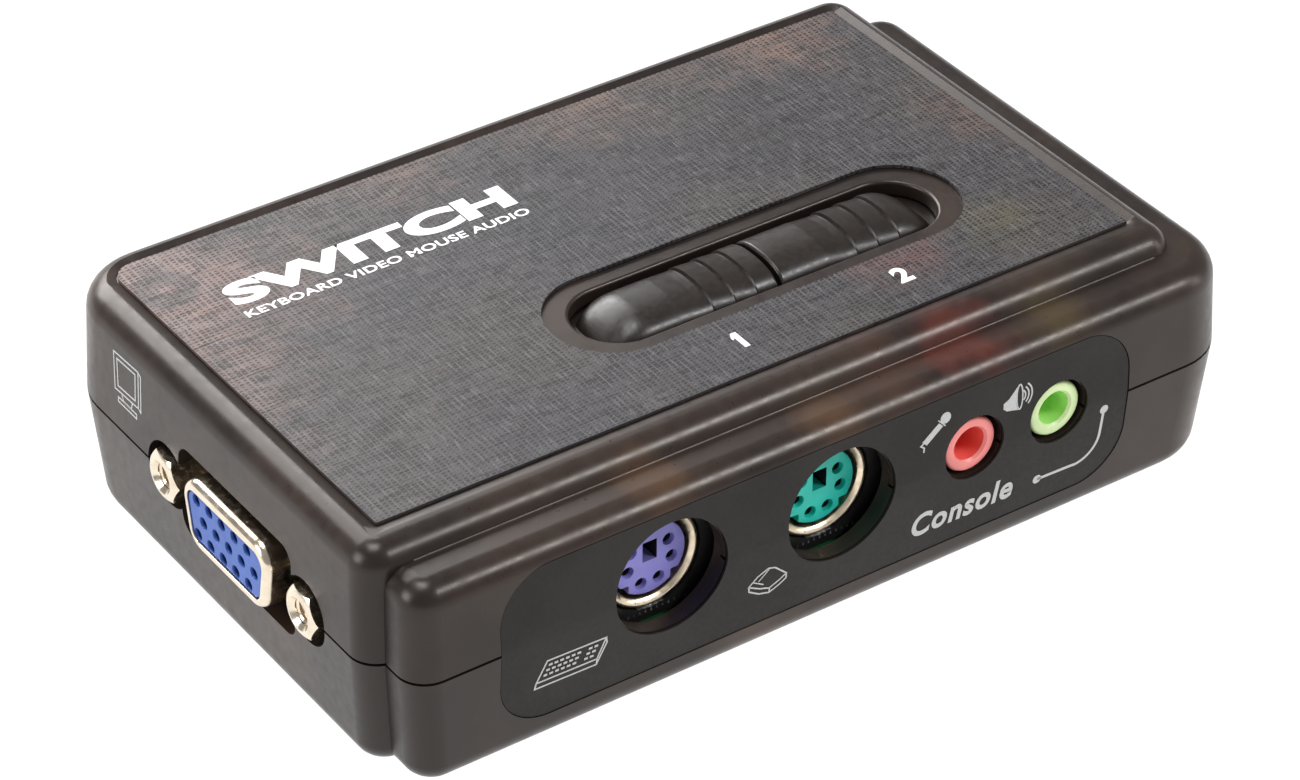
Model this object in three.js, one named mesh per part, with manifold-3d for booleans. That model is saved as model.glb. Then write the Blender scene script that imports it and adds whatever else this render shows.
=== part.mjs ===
// A two-port keyboard, video and mouse switch with audio.
// Units are millimetres. +X runs along the long front face, +Y towards the back, +Z up.
// The case is two rounded blocks, one over the other on plan and slightly offset. Each is drafted
// away from the parting plane. All parts are placed from the low left front corner of the case,
// with Z = 0 at the parting plane, and the whole is then moved to stand on its own base centre.
import * as THREE from 'three';
import { mergeVertices } from 'three/addons/utils/BufferGeometryUtils.js';
import Module from 'manifold-3d';

const wasm = await Module();
wasm.setup();

// ---------------------------------------------------------------- driving dimensions

// case
const caseLength = 98;
const caseDepth = 61.5;
const upperHeight = 12;
const lowerHeight = 13;
const wall = 2;
const upperDraft = 2.4;
const lowerDraft = 4.2;
const edgeRadius = 2.4;
const smallCorner = 3;
const backLeftCorner = 7;
const frontRightCorner = 7;
const stepLeft = 2;
const stepRight = 4;
const stepFront = 4.8;
const stepBack = 3.4;
const stepDown = 2;
const partingGap = 0.3;
const tongueThickness = 0.9;
const tongueHeight = 1.2;

// clearances
const fitGap = 0.3;
const labelGap = 0.08;
const seam = 0.1;
const hair = 0.001;

// top overlay
const overlayRecess = 0.5;
const overlayThickness = 0.35;
const overlayLeft = 4.4;
const overlayRight = 3.6;
const overlayFront = 4.85;
const overlayBack = 3.55;
const overlayCorner = 2.2;
const overlaySharpCorner = 0.3;
const bezelWidth = 2;
const bezelEndWidth = 2.7;

// push keys
const keySlotLength = 41.6;
const keySlotWidth = 9.4;
const keySlotFromRight = 37;
const keySlotFromFront = 20.25;
const keyRise = 0.45;
const keyArchRadius = 5.6;
const keySideClearance = 0.5;
const keyEndClearance = 1;
const keyDomeLength = 5;
const keySides = 48;
const keySplit = 0.5;
const keyCatch = 0.6;
const keyFlangeThickness = 1.2;
const keyStemRadius = 2.2;
const keyDip = 0.35;
const keyStep = 0.3;
const keyStepPitch = 2.55;
const keyStepCount = 3;
const keyStepRun = 0.1;
const keyDipWidth = 1.15;
const leftKeySmooth = 10.95;
const rightKeySmooth = 7.95;
const keySkirtCorner = 0.3;

// front label
const labelLeft = 9.25;
const labelRight = 14.4;
const labelTop = 8.05;
const labelBottom = 9.5;
const labelCorner = 5.5;
const labelRecess = 0.4;
const labelThickness = 0.25;

// circuit board
const boardThickness = 1.6;
const boardBelowParting = 6.3;
const boardMargin = 0.7;
const boardCorner = 5;
const boardSharpCorner = 1;

// 15-pin sockets
const dShellWidth = 16.3;
const dShellHeight = 7.9;
const dShellWall = 0.5;
const dShellCorner = 2.5;
const dSlope = 10;
const dReach = 5.9;
const dProud = 1.05;
const flangeWidth = 30.8;
const flangeHeight = 12.5;
const flangeThickness = 0.8;
const flangeAboveBoard = 0.05;
const dBodyDepth = 7.5;
const dBodyHeight = 10.8;
const dBodyInset = 0.6;
const dTowerSetback = 0.4;
const dTowerRoot = 1;
const jackscrewSpacing = 25;
const jackscrewFlats = 4.8;
const jackscrewLength = 5.2;
const jackscrewBore = 1.3;
const jackscrewFloor = 1.2;
const jackscrewChamfer = 0.8;
const pinPitch = 2.29;
const pinRowPitch = 1.98;
const pinHoleRadius = 0.5;
const pinHoleDepth = 4;
const dWindowWidth = 19.6;
const dWindowHeight = 10.4;
const dWindowCorner = 1.6;
const jackscrewWindowRadius = 3.1;
const monitorPortFromFront = 28.1;
const computerPortFromLeft = 27;
const computerPortPitch = 35;

// round keyboard and mouse sockets
const dinFromLabel = 18.65;
const dinPitch = 19.35;
const dinRise = 0.62;
const dinWindowRadius = 6.1;
const dinShieldRadius = 5.25;
const dinShieldWall = 0.45;
const dinInsertRadius = 4;
const dinRecess = 3.5;
const dinBodyWidth = 14;
const dinBodyCover = 1.13;
const dinBodyDepth = 12;
const dinShieldDepth = 7;
const dinShieldFloor = 0.6;
const dinInsertSetback = 0.3;
const dinHoleDepth = 4;
const dinPinRadius = 0.55;
const dinKeyWidth = 1.6;
const dinKeyHeight = 2.2;
const dinKeyRise = 0.85;
const dinTopPin = [2.1, 1.3];
const dinSidePin = [2.45, -0.75];
const dinLowPin = [1, -2.6];
const dinNotch = 1.5;

// audio jacks
const jackFromLabel = 18.75;
const jackPitch = 10.25;
const jackRise = 0.85;
const jackBarrelRadius = 3;
const jackBoreRadius = 1.8;
const jackWindowRadius = 3.4;
const jackRecess = 0.8;
const jackBodyWidth = 8;
const jackBodyCover = 2.85;
const jackBodyDepth = 11;
const jackBarrelLength = 4;
const jackChamberRadius = 2.7;
const jackChamberLength = 5;
const jackChamberInset = 1.5;
const jackEndWall = 1;
const sideJackFromFront = 14;
const sideJackPitch = 10;

// tact switches
const tactSize = 6;
const tactHeight = 3.5;
const tactPlungerRadius = 1.7;
const tactPlungerTop = 9.5;
const tactSocketDepth = 2.4;
const tactRunning = 0.3;
const tactTravel = 1;

// fasteners and feet
const bossInsetX = 7.2;
const bossInsetY = 6.2;
const bossBackInset = 9.5;
const bossRightInset = 16.5;
const bossRadius = 3.8;
const pillarRadius = 2.8;
const screwRadius = 1.2;
const screwHeadRadius = 2.4;
const screwHeadHeight = 1.6;
const screwSeat = 3.2;
const screwLength = 12;
const screwSlot = 0.8;
const screwSlotReach = 1.56;
const pilotEndWall = 1;
const footRadius = 4;
const footProud = 1.2;
const footSocket = 0.5;
const footRim = 0.4;
const footLeftInset = 16;
const footRightInset = 26;
const footInsetY = 9.5;

// small components
const ledRadius = 1.5;
const ledHeight = 5.3;
const ledRim = 0.3;
const ledRimHeight = 1;
const ledOffset = 6.8;
const chipSize = [18, 7.6, 2.5];
const videoChipSize = [10, 4, 1.6];
const crystalSize = [11, 4.6, 3.5];
const capacitorRadius = 2.5;
const capacitorHeight = 7;
const capacitorFromLeft = 18;
const capacitorFromFront = 8;

// facets
const cornerSteps = 3;
const edgeSteps = 2;
const holeSides = 20;
const postSides = 12;
const smallHoleSides = 6;
const domeSteps = 5;

// ---------------------------------------------------------------- worked-out sizes

const tan = (degrees) => Math.tan(THREE.MathUtils.degToRad(degrees));
const blockA = {
  x0: 0,
  x1: caseLength - stepRight,
  y0: stepFront,
  y1: caseDepth,
  top: upperHeight,
  corners: [smallCorner, smallCorner, smallCorner, backLeftCorner],
};
const blockB = {
  x0: stepLeft,
  x1: caseLength,
  y0: 0,
  y1: caseDepth - stepBack,
  top: upperHeight - stepDown,
  corners: [smallCorner, frontRightCorner, smallCorner, smallCorner],
};
const boardTop = -boardBelowParting;
const boardLow = boardTop - boardThickness;
const overlayFloor = upperHeight - overlayRecess;
const overlayTop = overlayFloor + labelGap + overlayThickness;
const roofUnderside = upperHeight - wall;
const keySlot = {
  x: blockA.x1 - keySlotFromRight,
  y: blockA.y0 + keySlotFromFront,
};
const keyHalfWidth = keySlotWidth / 2 - keySideClearance;
const keyAxisZ = overlayTop + keyRise - keyArchRadius;
const keyReach = keySlotLength / 2 - keyEndClearance;
const seatZ = boardTop + fitGap;

// ---------------------------------------------------------------- solid helpers

function toSolid(geometry) {
  const bare = geometry.index ? geometry.toNonIndexed() : geometry.clone();
  bare.deleteAttribute('normal');
  bare.deleteAttribute('uv');
  const merged = mergeVertices(bare, 1e-4);
  const vertProperties = new Float32Array(merged.attributes.position.array);
  const triVerts = new Uint32Array(merged.index.array);
  return new wasm.Manifold(new wasm.Mesh({ numProp: 3, vertProperties, triVerts }));
}

function toGeometry(solid) {
  const { vertProperties, triVerts } = solid.getMesh();
  const geometry = new THREE.BufferGeometry();
  geometry.setAttribute('position', new THREE.BufferAttribute(new Float32Array(vertProperties), 3));
  geometry.setIndex(new THREE.BufferAttribute(new Uint32Array(triVerts), 1));
  return geometry;
}

const join = (...solids) => solids.reduce((whole, next) => whole.add(next));
const cut = (solid, ...tools) => tools.reduce((rest, tool) => rest.subtract(tool), solid);

function boxSolid(x0, x1, y0, y1, z0, z1) {
  const geometry = new THREE.BoxGeometry(x1 - x0, y1 - y0, z1 - z0);
  geometry.translate((x0 + x1) / 2, (y0 + y1) / 2, (z0 + z1) / 2);
  return toSolid(geometry);
}

// a round bar from z0 to z1
function bar(x, y, radius, z0, z1, sides = holeSides) {
  const geometry = new THREE.CylinderGeometry(radius, radius, z1 - z0, sides);
  geometry.rotateX(Math.PI / 2);
  geometry.translate(x, y, (z0 + z1) / 2);
  return toSolid(geometry);
}

function roundedRect(x0, x1, y0, y1, corners) {
  const [frontLeft, frontRight, backRight, backLeft] = corners;
  const half = Math.PI / 2;
  const shape = new THREE.Shape();
  shape.absarc(x0 + frontLeft, y0 + frontLeft, frontLeft, 2 * half, 3 * half);
  shape.absarc(x1 - frontRight, y0 + frontRight, frontRight, 3 * half, 4 * half);
  shape.absarc(x1 - backRight, y1 - backRight, backRight, 0, half);
  shape.absarc(x0 + backLeft, y1 - backLeft, backLeft, half, 2 * half);
  shape.closePath();
  return shape;
}

function plate(shape, z0, z1) {
  const geometry = new THREE.ExtrudeGeometry(shape, {
    depth: z1 - z0,
    bevelEnabled: false,
    curveSegments: cornerSteps,
  });
  geometry.translate(0, 0, z0);
  return toSolid(geometry);
}

function stadium(x, y, length, width) {
  const radius = width / 2;
  const corners = [radius, radius, radius, radius].map((value) => value - hair);
  return roundedRect(x - length / 2, x + length / 2, y - radius, y + radius, corners);
}

// turns a solid drawn facing -Y at the origin onto another side of the case, then moves it
function placed(solid, turn, x, y, z) {
  return solid.rotate([0, 0, turn]).translate([x, y, z]);
}

// one block of the case, shrunk by inset, from z0 to z1, with all its edges rounded
// and its sides drafted away from the parting plane
function block(source, inset, z0, z1, draft, edge) {
  const corners = source.corners.map((radius) => Math.max(radius - inset, edge + 0.2));
  const outline = roundedRect(
    source.x0 + inset,
    source.x1 - inset,
    source.y0 + inset,
    source.y1 - inset,
    corners,
  );
  const geometry = new THREE.ExtrudeGeometry(outline, {
    depth: z1 - z0 - 2 * edge,
    bevelEnabled: true,
    bevelThickness: edge,
    bevelSize: edge,
    bevelOffset: -edge,
    bevelSegments: edgeSteps,
    curveSegments: cornerSteps,
  });
  geometry.translate(0, 0, z0 + edge);
  const middleX = (source.x0 + source.x1) / 2;
  const middleY = (source.y0 + source.y1) / 2;
  const points = geometry.attributes.position;
  for (let i = 0; i < points.count; i += 1) {
    const shrink = tan(draft) * points.getZ(i);
    const scaleX = 1 - (2 * shrink) / (source.x1 - source.x0);
    const scaleY = 1 - (2 * shrink) / (source.y1 - source.y0);
    points.setX(i, middleX + (points.getX(i) - middleX) * scaleX);
    points.setY(i, middleY + (points.getY(i) - middleY) * scaleY);
  }
  return toSolid(geometry);
}

const spare = 6;
const wide = boxSolid(-spare, caseLength + spare, -spare, caseDepth + spare, 0, 2 * upperHeight);
const above = (z) => wide.translate([0, 0, z]);
const deep = boxSolid(-spare, caseLength + spare, -spare, caseDepth + spare, -2 * lowerHeight, 0);
const below = (z) => deep.translate([0, 0, z]);

// both blocks above the parting plane, shrunk by inset and lowered by drop at the top
function upperForm(inset, drop = inset, start = 0) {
  const edge = Math.max(edgeRadius - inset, 0.4);
  const make = (source) => block(source, inset, -spare, source.top - drop, upperDraft, edge);
  return join(make(blockA), make(blockB)).intersect(above(start));
}

// both blocks below the parting plane
function lowerForm(inset, rise = inset, stop = 0) {
  const edge = Math.max(edgeRadius - inset, 0.4);
  const make = (source) => block(source, inset, rise - lowerHeight, spare, -lowerDraft, edge);
  return join(make(blockA), make(blockB)).intersect(below(stop));
}

// both blocks as plain upright walls, shrunk by inset, from z0 to z1
function plainForm(inset, z0, z1) {
  const make = (source) => {
    const corners = source.corners.map((radius) => Math.max(radius - inset, 0.6));
    const outline = roundedRect(
      source.x0 + inset,
      source.x1 - inset,
      source.y0 + inset,
      source.y1 - inset,
      corners,
    );
    return plate(outline, z0, z1);
  };
  return join(make(blockA), make(blockB));
}

// ---------------------------------------------------------------- places

const labelX0 = blockB.x0 + labelLeft;
const labelX1 = blockB.x1 - labelRight;
const portZ = boardTop + flangeHeight / 2 + flangeAboveBoard;
const monitorPort = { turn: -90, x: -dProud, y: monitorPortFromFront, z: portZ };
const computerPorts = [0, 1].map((index) => ({
  turn: 180,
  x: computerPortFromLeft + index * computerPortPitch,
  y: caseDepth + dProud,
  z: portZ,
}));
const ports = [monitorPort, ...computerPorts];
const dinSockets = [0, 1].map((index) => ({
  turn: 0,
  x: labelX0 + dinFromLabel + index * dinPitch,
  y: dinRecess,
  z: dinRise,
}));
const frontJacks = [0, 1].map((index) => ({
  turn: 0,
  x: labelX1 - jackFromLabel + index * jackPitch,
  y: jackRecess,
  z: jackRise,
}));
const sideJacks = [0, 1, 2, 3].map((index) => ({
  turn: 90,
  x: caseLength - jackRecess,
  y: sideJackFromFront + index * sideJackPitch,
  z: jackRise,
}));
const bosses = [
  [bossInsetX + stepLeft, bossInsetY],
  [caseLength - bossRightInset + stepRight, bossInsetY],
  [bossInsetX, caseDepth - bossBackInset],
  [caseLength - bossRightInset, caseDepth - bossBackInset],
];
const feet = [
  [footLeftInset, footInsetY],
  [caseLength - footRightInset, footInsetY],
  [footLeftInset, caseDepth - footInsetY],
  [caseLength - footRightInset, caseDepth - footInsetY],
];

// ---------------------------------------------------------------- windows in the case

// the opening for a 15-pin socket: a rounded slot with a round hole at each side
function portWindow() {
  const halfW = dWindowWidth / 2;
  const halfH = dWindowHeight / 2;
  const corners = [dWindowCorner, dWindowCorner, dWindowCorner, dWindowCorner];
  const slot = plate(roundedRect(-halfW, halfW, -halfH, halfH, corners), -spare, spare);
  const side = jackscrewSpacing / 2;
  const left = bar(-side, 0, jackscrewWindowRadius, -spare, spare);
  const right = bar(side, 0, jackscrewWindowRadius, -spare, spare);
  return join(slot, left, right).rotate([90, 0, 0]);
}

const roundWindow = (radius) => bar(0, 0, radius, -spare, spare).rotate([90, 0, 0]);

// a round window through one wall, centred on a socket
const windowAt = (radius, place) => placed(roundWindow(radius), place.turn, place.x, place.y, place.z);

function caseWindows() {
  const portWindows = ports.map((port) => placed(portWindow(), port.turn, port.x, port.y, port.z));
  const dinWindows = dinSockets.map((place) => windowAt(dinWindowRadius, place));
  const jackWindows = [...frontJacks, ...sideJacks].map((place) => windowAt(jackWindowRadius, place));
  return join(...portWindows, ...dinWindows, ...jackWindows);
}

const windows = caseWindows();

// ---------------------------------------------------------------- front label

// a rounded panel across the front, grown on every side by the value given
function labelPrism(grow) {
  const corner = labelCorner + grow;
  const shape = roundedRect(
    labelX0 - grow,
    labelX1 + grow,
    -labelBottom - grow,
    labelTop + grow,
    [corner, corner, corner, corner],
  );
  return plate(shape, -spare, spare).rotate([90, 0, 0]);
}

// everything behind the front face of the case, which leans back above and below the parting
// plane, moved back by inset
function behindFront(inset) {
  const low = -lowerHeight;
  const shape = new THREE.Shape();
  shape.moveTo(inset, 0);
  shape.lineTo(inset + tan(lowerDraft) * lowerHeight, low);
  shape.lineTo(2 * spare, low);
  shape.lineTo(2 * spare, upperHeight);
  shape.lineTo(inset + tan(upperDraft) * upperHeight, upperHeight);
  shape.closePath();
  const slab = plate(shape, -spare, caseLength + spare);
  return slab.rotate([90, 0, 90]);
}

const labelSeat = labelPrism(labelGap * 2).subtract(behindFront(labelRecess));

function frontLabel() {
  const outer = behindFront(labelRecess - labelGap - labelThickness);
  const inner = behindFront(labelRecess - labelGap);
  const sheet = labelPrism(0).intersect(outer.subtract(inner));
  return cut(sheet, windows);
}

// ---------------------------------------------------------------- case shells

const overlayBox = {
  x0: blockA.x0 + overlayLeft,
  x1: blockA.x1 - overlayRight,
  y0: blockA.y0 + overlayFront,
  y1: blockA.y1 - overlayBack,
};

function overlayOutline(grow) {
  const sharp = overlaySharpCorner + grow;
  return roundedRect(
    overlayBox.x0 - grow,
    overlayBox.x1 + grow,
    overlayBox.y0 - grow,
    overlayBox.y1 + grow,
    [sharp, sharp, sharp, overlayCorner + grow],
  );
}

function upperShell() {
  const outer = upperForm(0, 0, partingGap / 2);
  const inner = upperForm(wall);
  const rebate = plainForm(wall - tongueThickness - fitGap, 0, tongueHeight + fitGap);
  const overlaySeat = plate(overlayOutline(labelGap), overlayFloor, upperHeight + spare);
  const slot = plate(stadium(keySlot.x, keySlot.y, keySlotLength, keySlotWidth), 0, upperHeight + spare);
  const hollow = cut(outer, inner, rebate, overlaySeat, slot);
  const pillars = bosses.map(([x, y]) => {
    const post = bar(x, y, pillarRadius, seatZ, roofUnderside + fitGap, postSides);
    return post.intersect(join(upperForm(wall / 2), below(0)));
  });
  const pilotRadius = screwRadius + fitGap / 2;
  const pilotTop = roofUnderside - pilotEndWall;
  const pilots = bosses.map(([x, y]) => bar(x, y, pilotRadius, boardTop, pilotTop, postSides));
  return cut(join(hollow, ...pillars), labelSeat, windows, ...pilots);
}

function lowerShell() {
  const outer = lowerForm(0, 0, -partingGap / 2);
  const inner = lowerForm(wall);
  const tongueOuter = plainForm(wall - tongueThickness, -wall, tongueHeight);
  const tongueInner = plainForm(wall + tan(lowerDraft) * wall, -2 * wall, tongueHeight + wall);
  const tongue = tongueOuter.subtract(tongueInner);
  const hollow = join(outer.subtract(inner), tongue);
  const headRadius = screwHeadRadius + fitGap;
  const seat = screwSeat - lowerHeight;
  const under = -lowerHeight - 1;
  const posts = bosses.map(([x, y]) => bar(x, y, bossRadius, under + wall, boardLow - fitGap, postSides));
  const bores = bosses.map(([x, y]) => bar(x, y, screwRadius + fitGap, under, boardLow, postSides));
  const heads = bosses.map(([x, y]) => bar(x, y, headRadius, under, seat, postSides));
  const footTop = footSocket - lowerHeight;
  const footSeats = feet.map(([x, y]) => bar(x, y, footRadius + fitGap, under, footTop, postSides));
  return cut(join(hollow, ...posts), labelSeat, windows, ...bores, ...heads, ...footSeats);
}

function topOverlay() {
  const sheet = plate(overlayOutline(0), overlayFloor + labelGap, overlayTop);
  const opening = stadium(
    keySlot.x,
    keySlot.y,
    keySlotLength + 2 * bezelEndWidth,
    keySlotWidth + 2 * bezelWidth,
  );
  return cut(sheet, plate(opening, 0, upperHeight + spare));
}

// ---------------------------------------------------------------- push keys

// The crest of a key is turned about an axis below it: a domed outer end, a smooth stretch,
// a dip, then saw-tooth grip steps. The profile runs from the left end to the right end.
function crest(length, gripStart, roundEnd) {
  const points = [new THREE.Vector2(0, 0)];
  if (roundEnd === 'left') {
    for (let i = 1; i <= domeSteps; i += 1) {
      const angle = (i / domeSteps) * (Math.PI / 2);
      const along = keyDomeLength * (1 - Math.cos(angle));
      points.push(new THREE.Vector2(keyArchRadius * Math.sin(angle), along));
    }
  } else {
    points.push(new THREE.Vector2(keyArchRadius - keyStep, 0));
    points.push(new THREE.Vector2(keyArchRadius, keyStep));
  }
  points.push(new THREE.Vector2(keyArchRadius, gripStart - keyStep));
  points.push(new THREE.Vector2(keyArchRadius - keyDip, gripStart));
  for (let i = 1; i <= keyStepCount; i += 1) {
    const along = gripStart + keyDipWidth + (i - 1) * keyStepPitch;
    points.push(new THREE.Vector2(keyArchRadius - keyDip, along));
    points.push(new THREE.Vector2(keyArchRadius, along + keyStepRun));
    if (i < keyStepCount) {
      points.push(new THREE.Vector2(keyArchRadius - keyDip, along + keyStepPitch - keyStepRun));
    }
  }
  if (roundEnd === 'left') {
    points.push(new THREE.Vector2(keyArchRadius, length - keyStep));
    points.push(new THREE.Vector2(keyArchRadius - keyStep, length));
  } else {
    for (let i = 0; i < domeSteps; i += 1) {
      const angle = (i / domeSteps) * (Math.PI / 2);
      const along = length - keyDomeLength * (1 - Math.sin(angle));
      points.push(new THREE.Vector2(keyArchRadius * Math.cos(angle), along));
    }
  }
  points.push(new THREE.Vector2(0, length));
  const turned = new THREE.LatheGeometry(points, keySides);
  turned.rotateZ(-Math.PI / 2);
  return toSolid(turned);
}

// half of a stadium in plan, for the sides and the flange of one key
function keyOutline(x0, x1, half, roundEnd) {
  const radius = half - hair;
  const flat = keySkirtCorner;
  const corners = roundEnd === 'left' ? [radius, flat, flat, radius] : [flat, radius, radius, flat];
  return roundedRect(x0, x1, keySlot.y - half, keySlot.y + half, corners);
}

function pushKey(roundEnd) {
  const isLeft = roundEnd === 'left';
  const x0 = isLeft ? keySlot.x - keyReach : keySlot.x + keySplit / 2;
  const x1 = isLeft ? keySlot.x - keySplit / 2 : keySlot.x + keyReach;
  const gripStart = isLeft ? leftKeySmooth : rightKeySmooth;
  const flangeTop = roofUnderside - fitGap;
  const flangeLow = flangeTop - keyFlangeThickness;
  const turned = crest(x1 - x0, gripStart, roundEnd).translate([x0, keySlot.y, keyAxisZ]);
  const sides = plate(keyOutline(x0, x1, keyHalfWidth, roundEnd), flangeLow, upperHeight + keyArchRadius);
  const top = turned.intersect(sides);
  const past = keyEndClearance + keyCatch;
  const flangeX0 = isLeft ? x0 - past : x0;
  const flangeX1 = isLeft ? x1 : x1 + past;
  const flangeHalf = keySlotWidth / 2 + keyCatch;
  const flange = plate(keyOutline(flangeX0, flangeX1, flangeHalf, roundEnd), flangeLow, flangeTop);
  const stemX = (x0 + x1) / 2;
  const stemLow = boardTop + tactPlungerTop + fitGap;
  const stem = bar(stemX, keySlot.y, keyStemRadius, stemLow, flangeLow + seam);
  return { solid: join(top, flange, stem), stemX };
}

const leftKey = pushKey('left');
const rightKey = pushKey('right');

function tactBody(x) {
  const half = tactSize / 2;
  const body = boxSolid(x - half, x + half, keySlot.y - half, keySlot.y + half, seatZ, seatZ + tactHeight);
  const socketFloor = seatZ + tactHeight - tactSocketDepth;
  const socket = bar(x, keySlot.y, tactPlungerRadius + tactRunning, socketFloor, spare);
  return cut(body, socket);
}

function tactPlunger(x) {
  const low = seatZ + tactHeight - tactSocketDepth + tactTravel;
  return bar(x, keySlot.y, tactPlungerRadius, low, boardTop + tactPlungerTop);
}

// ---------------------------------------------------------------- circuit board

function circuitBoard() {
  const inset = wall + tan(lowerDraft) * (boardBelowParting + boardThickness) + boardMargin;
  const x0 = blockB.x0 + inset;
  const x1 = blockB.x1 - inset;
  const y0 = blockB.y0 + inset;
  const y1 = blockB.y1 - inset;
  const outline = roundedRect(x0, x1, y0, y1, [
    boardSharpCorner,
    boardCorner,
    boardSharpCorner,
    boardSharpCorner,
  ]);
  const board = plate(outline, boardLow, boardTop);
  const holes = bosses.map(([x, y]) => bar(x, y, screwRadius + fitGap, boardLow - 1, boardTop + 1));
  return cut(board, ...holes);
}

// ---------------------------------------------------------------- 15-pin socket

// The D outline, wide side up, drawn in X (across) and Y (up).
function dOutline(grow) {
  const halfTop = dShellWidth / 2 + grow;
  const halfHeight = dShellHeight / 2 + grow;
  const halfLow = halfTop - 2 * halfHeight * tan(dSlope);
  const round = dShellCorner + grow;
  const corners = [
    [-halfLow, -halfHeight],
    [halfLow, -halfHeight],
    [halfTop, halfHeight],
    [-halfTop, halfHeight],
  ].map(([x, y]) => new THREE.Vector2(x, y));
  const shape = new THREE.Shape();
  corners.forEach((corner, index) => {
    const before = corners[(index + 3) % 4];
    const after = corners[(index + 1) % 4];
    const enter = corner.clone().add(before.clone().sub(corner).setLength(round));
    const leave = corner.clone().add(after.clone().sub(corner).setLength(round));
    if (index === 0) shape.moveTo(enter.x, enter.y);
    else shape.lineTo(enter.x, enter.y);
    shape.quadraticCurveTo(corner.x, corner.y, leave.x, leave.y);
  });
  shape.closePath();
  return shape;
}

// Drawn in plan with depth along -Z, then stood up so that the mouth faces -Y.
const stand = (solid) => solid.rotate([90, 0, 0]);

function portShell() {
  const collar = plate(dOutline(0), -dReach, 0);
  const hollow = plate(dOutline(-dShellWall), -dReach - spare, spare);
  const halfW = flangeWidth / 2;
  const halfH = flangeHeight / 2;
  const flangeShape = roundedRect(-halfW, halfW, -halfH, halfH, [1, 1, 1, 1]);
  const flange = plate(flangeShape, -dReach - flangeThickness, -dReach);
  return stand(cut(join(collar, flange), hollow));
}

function portInsulator() {
  const bodyFront = -dReach - flangeThickness - fitGap;
  const tower = plate(dOutline(-dShellWall - fitGap), bodyFront - dTowerRoot, -dTowerSetback);
  const halfW = flangeWidth / 2 - dBodyInset;
  const halfH = dBodyHeight / 2;
  const body = boxSolid(-halfW, halfW, -halfH, halfH, bodyFront - dBodyDepth, bodyFront);
  const holes = [];
  for (let row = -1; row <= 1; row += 1) {
    const shift = row === 0 ? -pinPitch / 4 : pinPitch / 4;
    for (let column = -2; column <= 2; column += 1) {
      const x = -(column * pinPitch + shift);
      holes.push(bar(x, row * pinRowPitch, pinHoleRadius, -pinHoleDepth, spare, smallHoleSides));
    }
  }
  return stand(cut(join(tower, body), ...holes));
}

function jackscrew(side) {
  const across = jackscrewFlats / 2 / Math.cos(Math.PI / 6);
  const x = (side * jackscrewSpacing) / 2;
  const low = fitGap - dReach;
  const hex = bar(x, 0, across, low, low + jackscrewLength, 6);
  const chamfer = new THREE.LatheGeometry(
    [
      new THREE.Vector2(0, low),
      new THREE.Vector2(across + seam, low),
      new THREE.Vector2(across + seam, low + jackscrewLength - jackscrewChamfer),
      new THREE.Vector2(across - jackscrewChamfer, low + jackscrewLength),
      new THREE.Vector2(0, low + jackscrewLength),
    ],
    holeSides,
  );
  chamfer.rotateX(Math.PI / 2);
  chamfer.translate(x, 0, 0);
  const bore = bar(x, 0, jackscrewBore, low + jackscrewFloor, spare, postSides);
  return stand(cut(hex.intersect(toSolid(chamfer)), bore));
}

// ---------------------------------------------------------------- round sockets

function dinHousing() {
  const halfW = dinBodyWidth / 2;
  const low = seatZ - dinRise;
  const top = dinShieldRadius + fitGap + dinBodyCover;
  const body = boxSolid(-halfW, halfW, low, top, -dinBodyDepth, 0);
  const chamber = bar(0, 0, dinShieldRadius + fitGap, -dinShieldDepth - fitGap, spare);
  return stand(cut(body, chamber));
}

function dinShield() {
  const tube = bar(0, 0, dinShieldRadius, -dinShieldDepth, 0);
  const mouth = bar(0, 0, dinShieldRadius - dinShieldWall, dinShieldFloor - dinShieldDepth, spare);
  return stand(cut(tube, mouth));
}

function dinInsert() {
  const drumBack = dinShieldFloor + fitGap - dinShieldDepth;
  const drum = bar(0, 0, dinInsertRadius, drumBack, -dinInsertSetback);
  const pins = [dinTopPin, dinSidePin, dinLowPin].flatMap(([x, y]) =>
    [-x, x].map((place) => bar(place, y, dinPinRadius, -dinHoleDepth, spare, smallHoleSides)));
  const halfW = dinKeyWidth / 2;
  const halfH = dinKeyHeight / 2;
  const keyLow = dinKeyRise - halfH;
  const keyHigh = dinKeyRise + halfH;
  const key = boxSolid(-halfW, halfW, keyLow, keyHigh, -dinHoleDepth, spare);
  const notches = [-1, 1].map((side) => {
    const centre = (dinInsertRadius - dinNotch / 2) * Math.SQRT1_2 + dinNotch / 2;
    const x = side * centre;
    const reach = dinNotch / 2;
    const low = -centre - reach;
    const high = -centre + reach;
    return boxSolid(x - reach, x + reach, low, high, -dinHoleDepth, spare);
  });
  return stand(cut(drum, ...pins, key, ...notches));
}

// ---------------------------------------------------------------- audio jacks

function jackBody() {
  const halfW = jackBodyWidth / 2;
  const low = seatZ - jackRise;
  const top = jackChamberRadius + jackBodyCover;
  const back = -jackBarrelLength - jackBodyDepth;
  const body = boxSolid(-halfW, halfW, low, top, back, -jackBarrelLength);
  const barrel = bar(0, 0, jackBarrelRadius, -jackBarrelLength - seam, 0);
  const bore = bar(0, 0, jackBoreRadius, back + jackEndWall, spare, postSides);
  const chamberTop = -jackBarrelLength - jackChamberInset;
  const chamber = bar(0, 0, jackChamberRadius, chamberTop - jackChamberLength, chamberTop, postSides);
  return stand(cut(join(body, barrel), bore, chamber));
}

function jackContact() {
  const front = -jackBarrelLength - jackChamberInset - fitGap;
  const back = front - jackChamberLength + 2 * fitGap;
  const sleeve = bar(0, 0, jackChamberRadius - fitGap, back, front, postSides);
  return stand(cut(sleeve, bar(0, 0, jackBoreRadius, back - seam, spare, postSides)));
}

// ---------------------------------------------------------------- screws, feet, components

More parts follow.
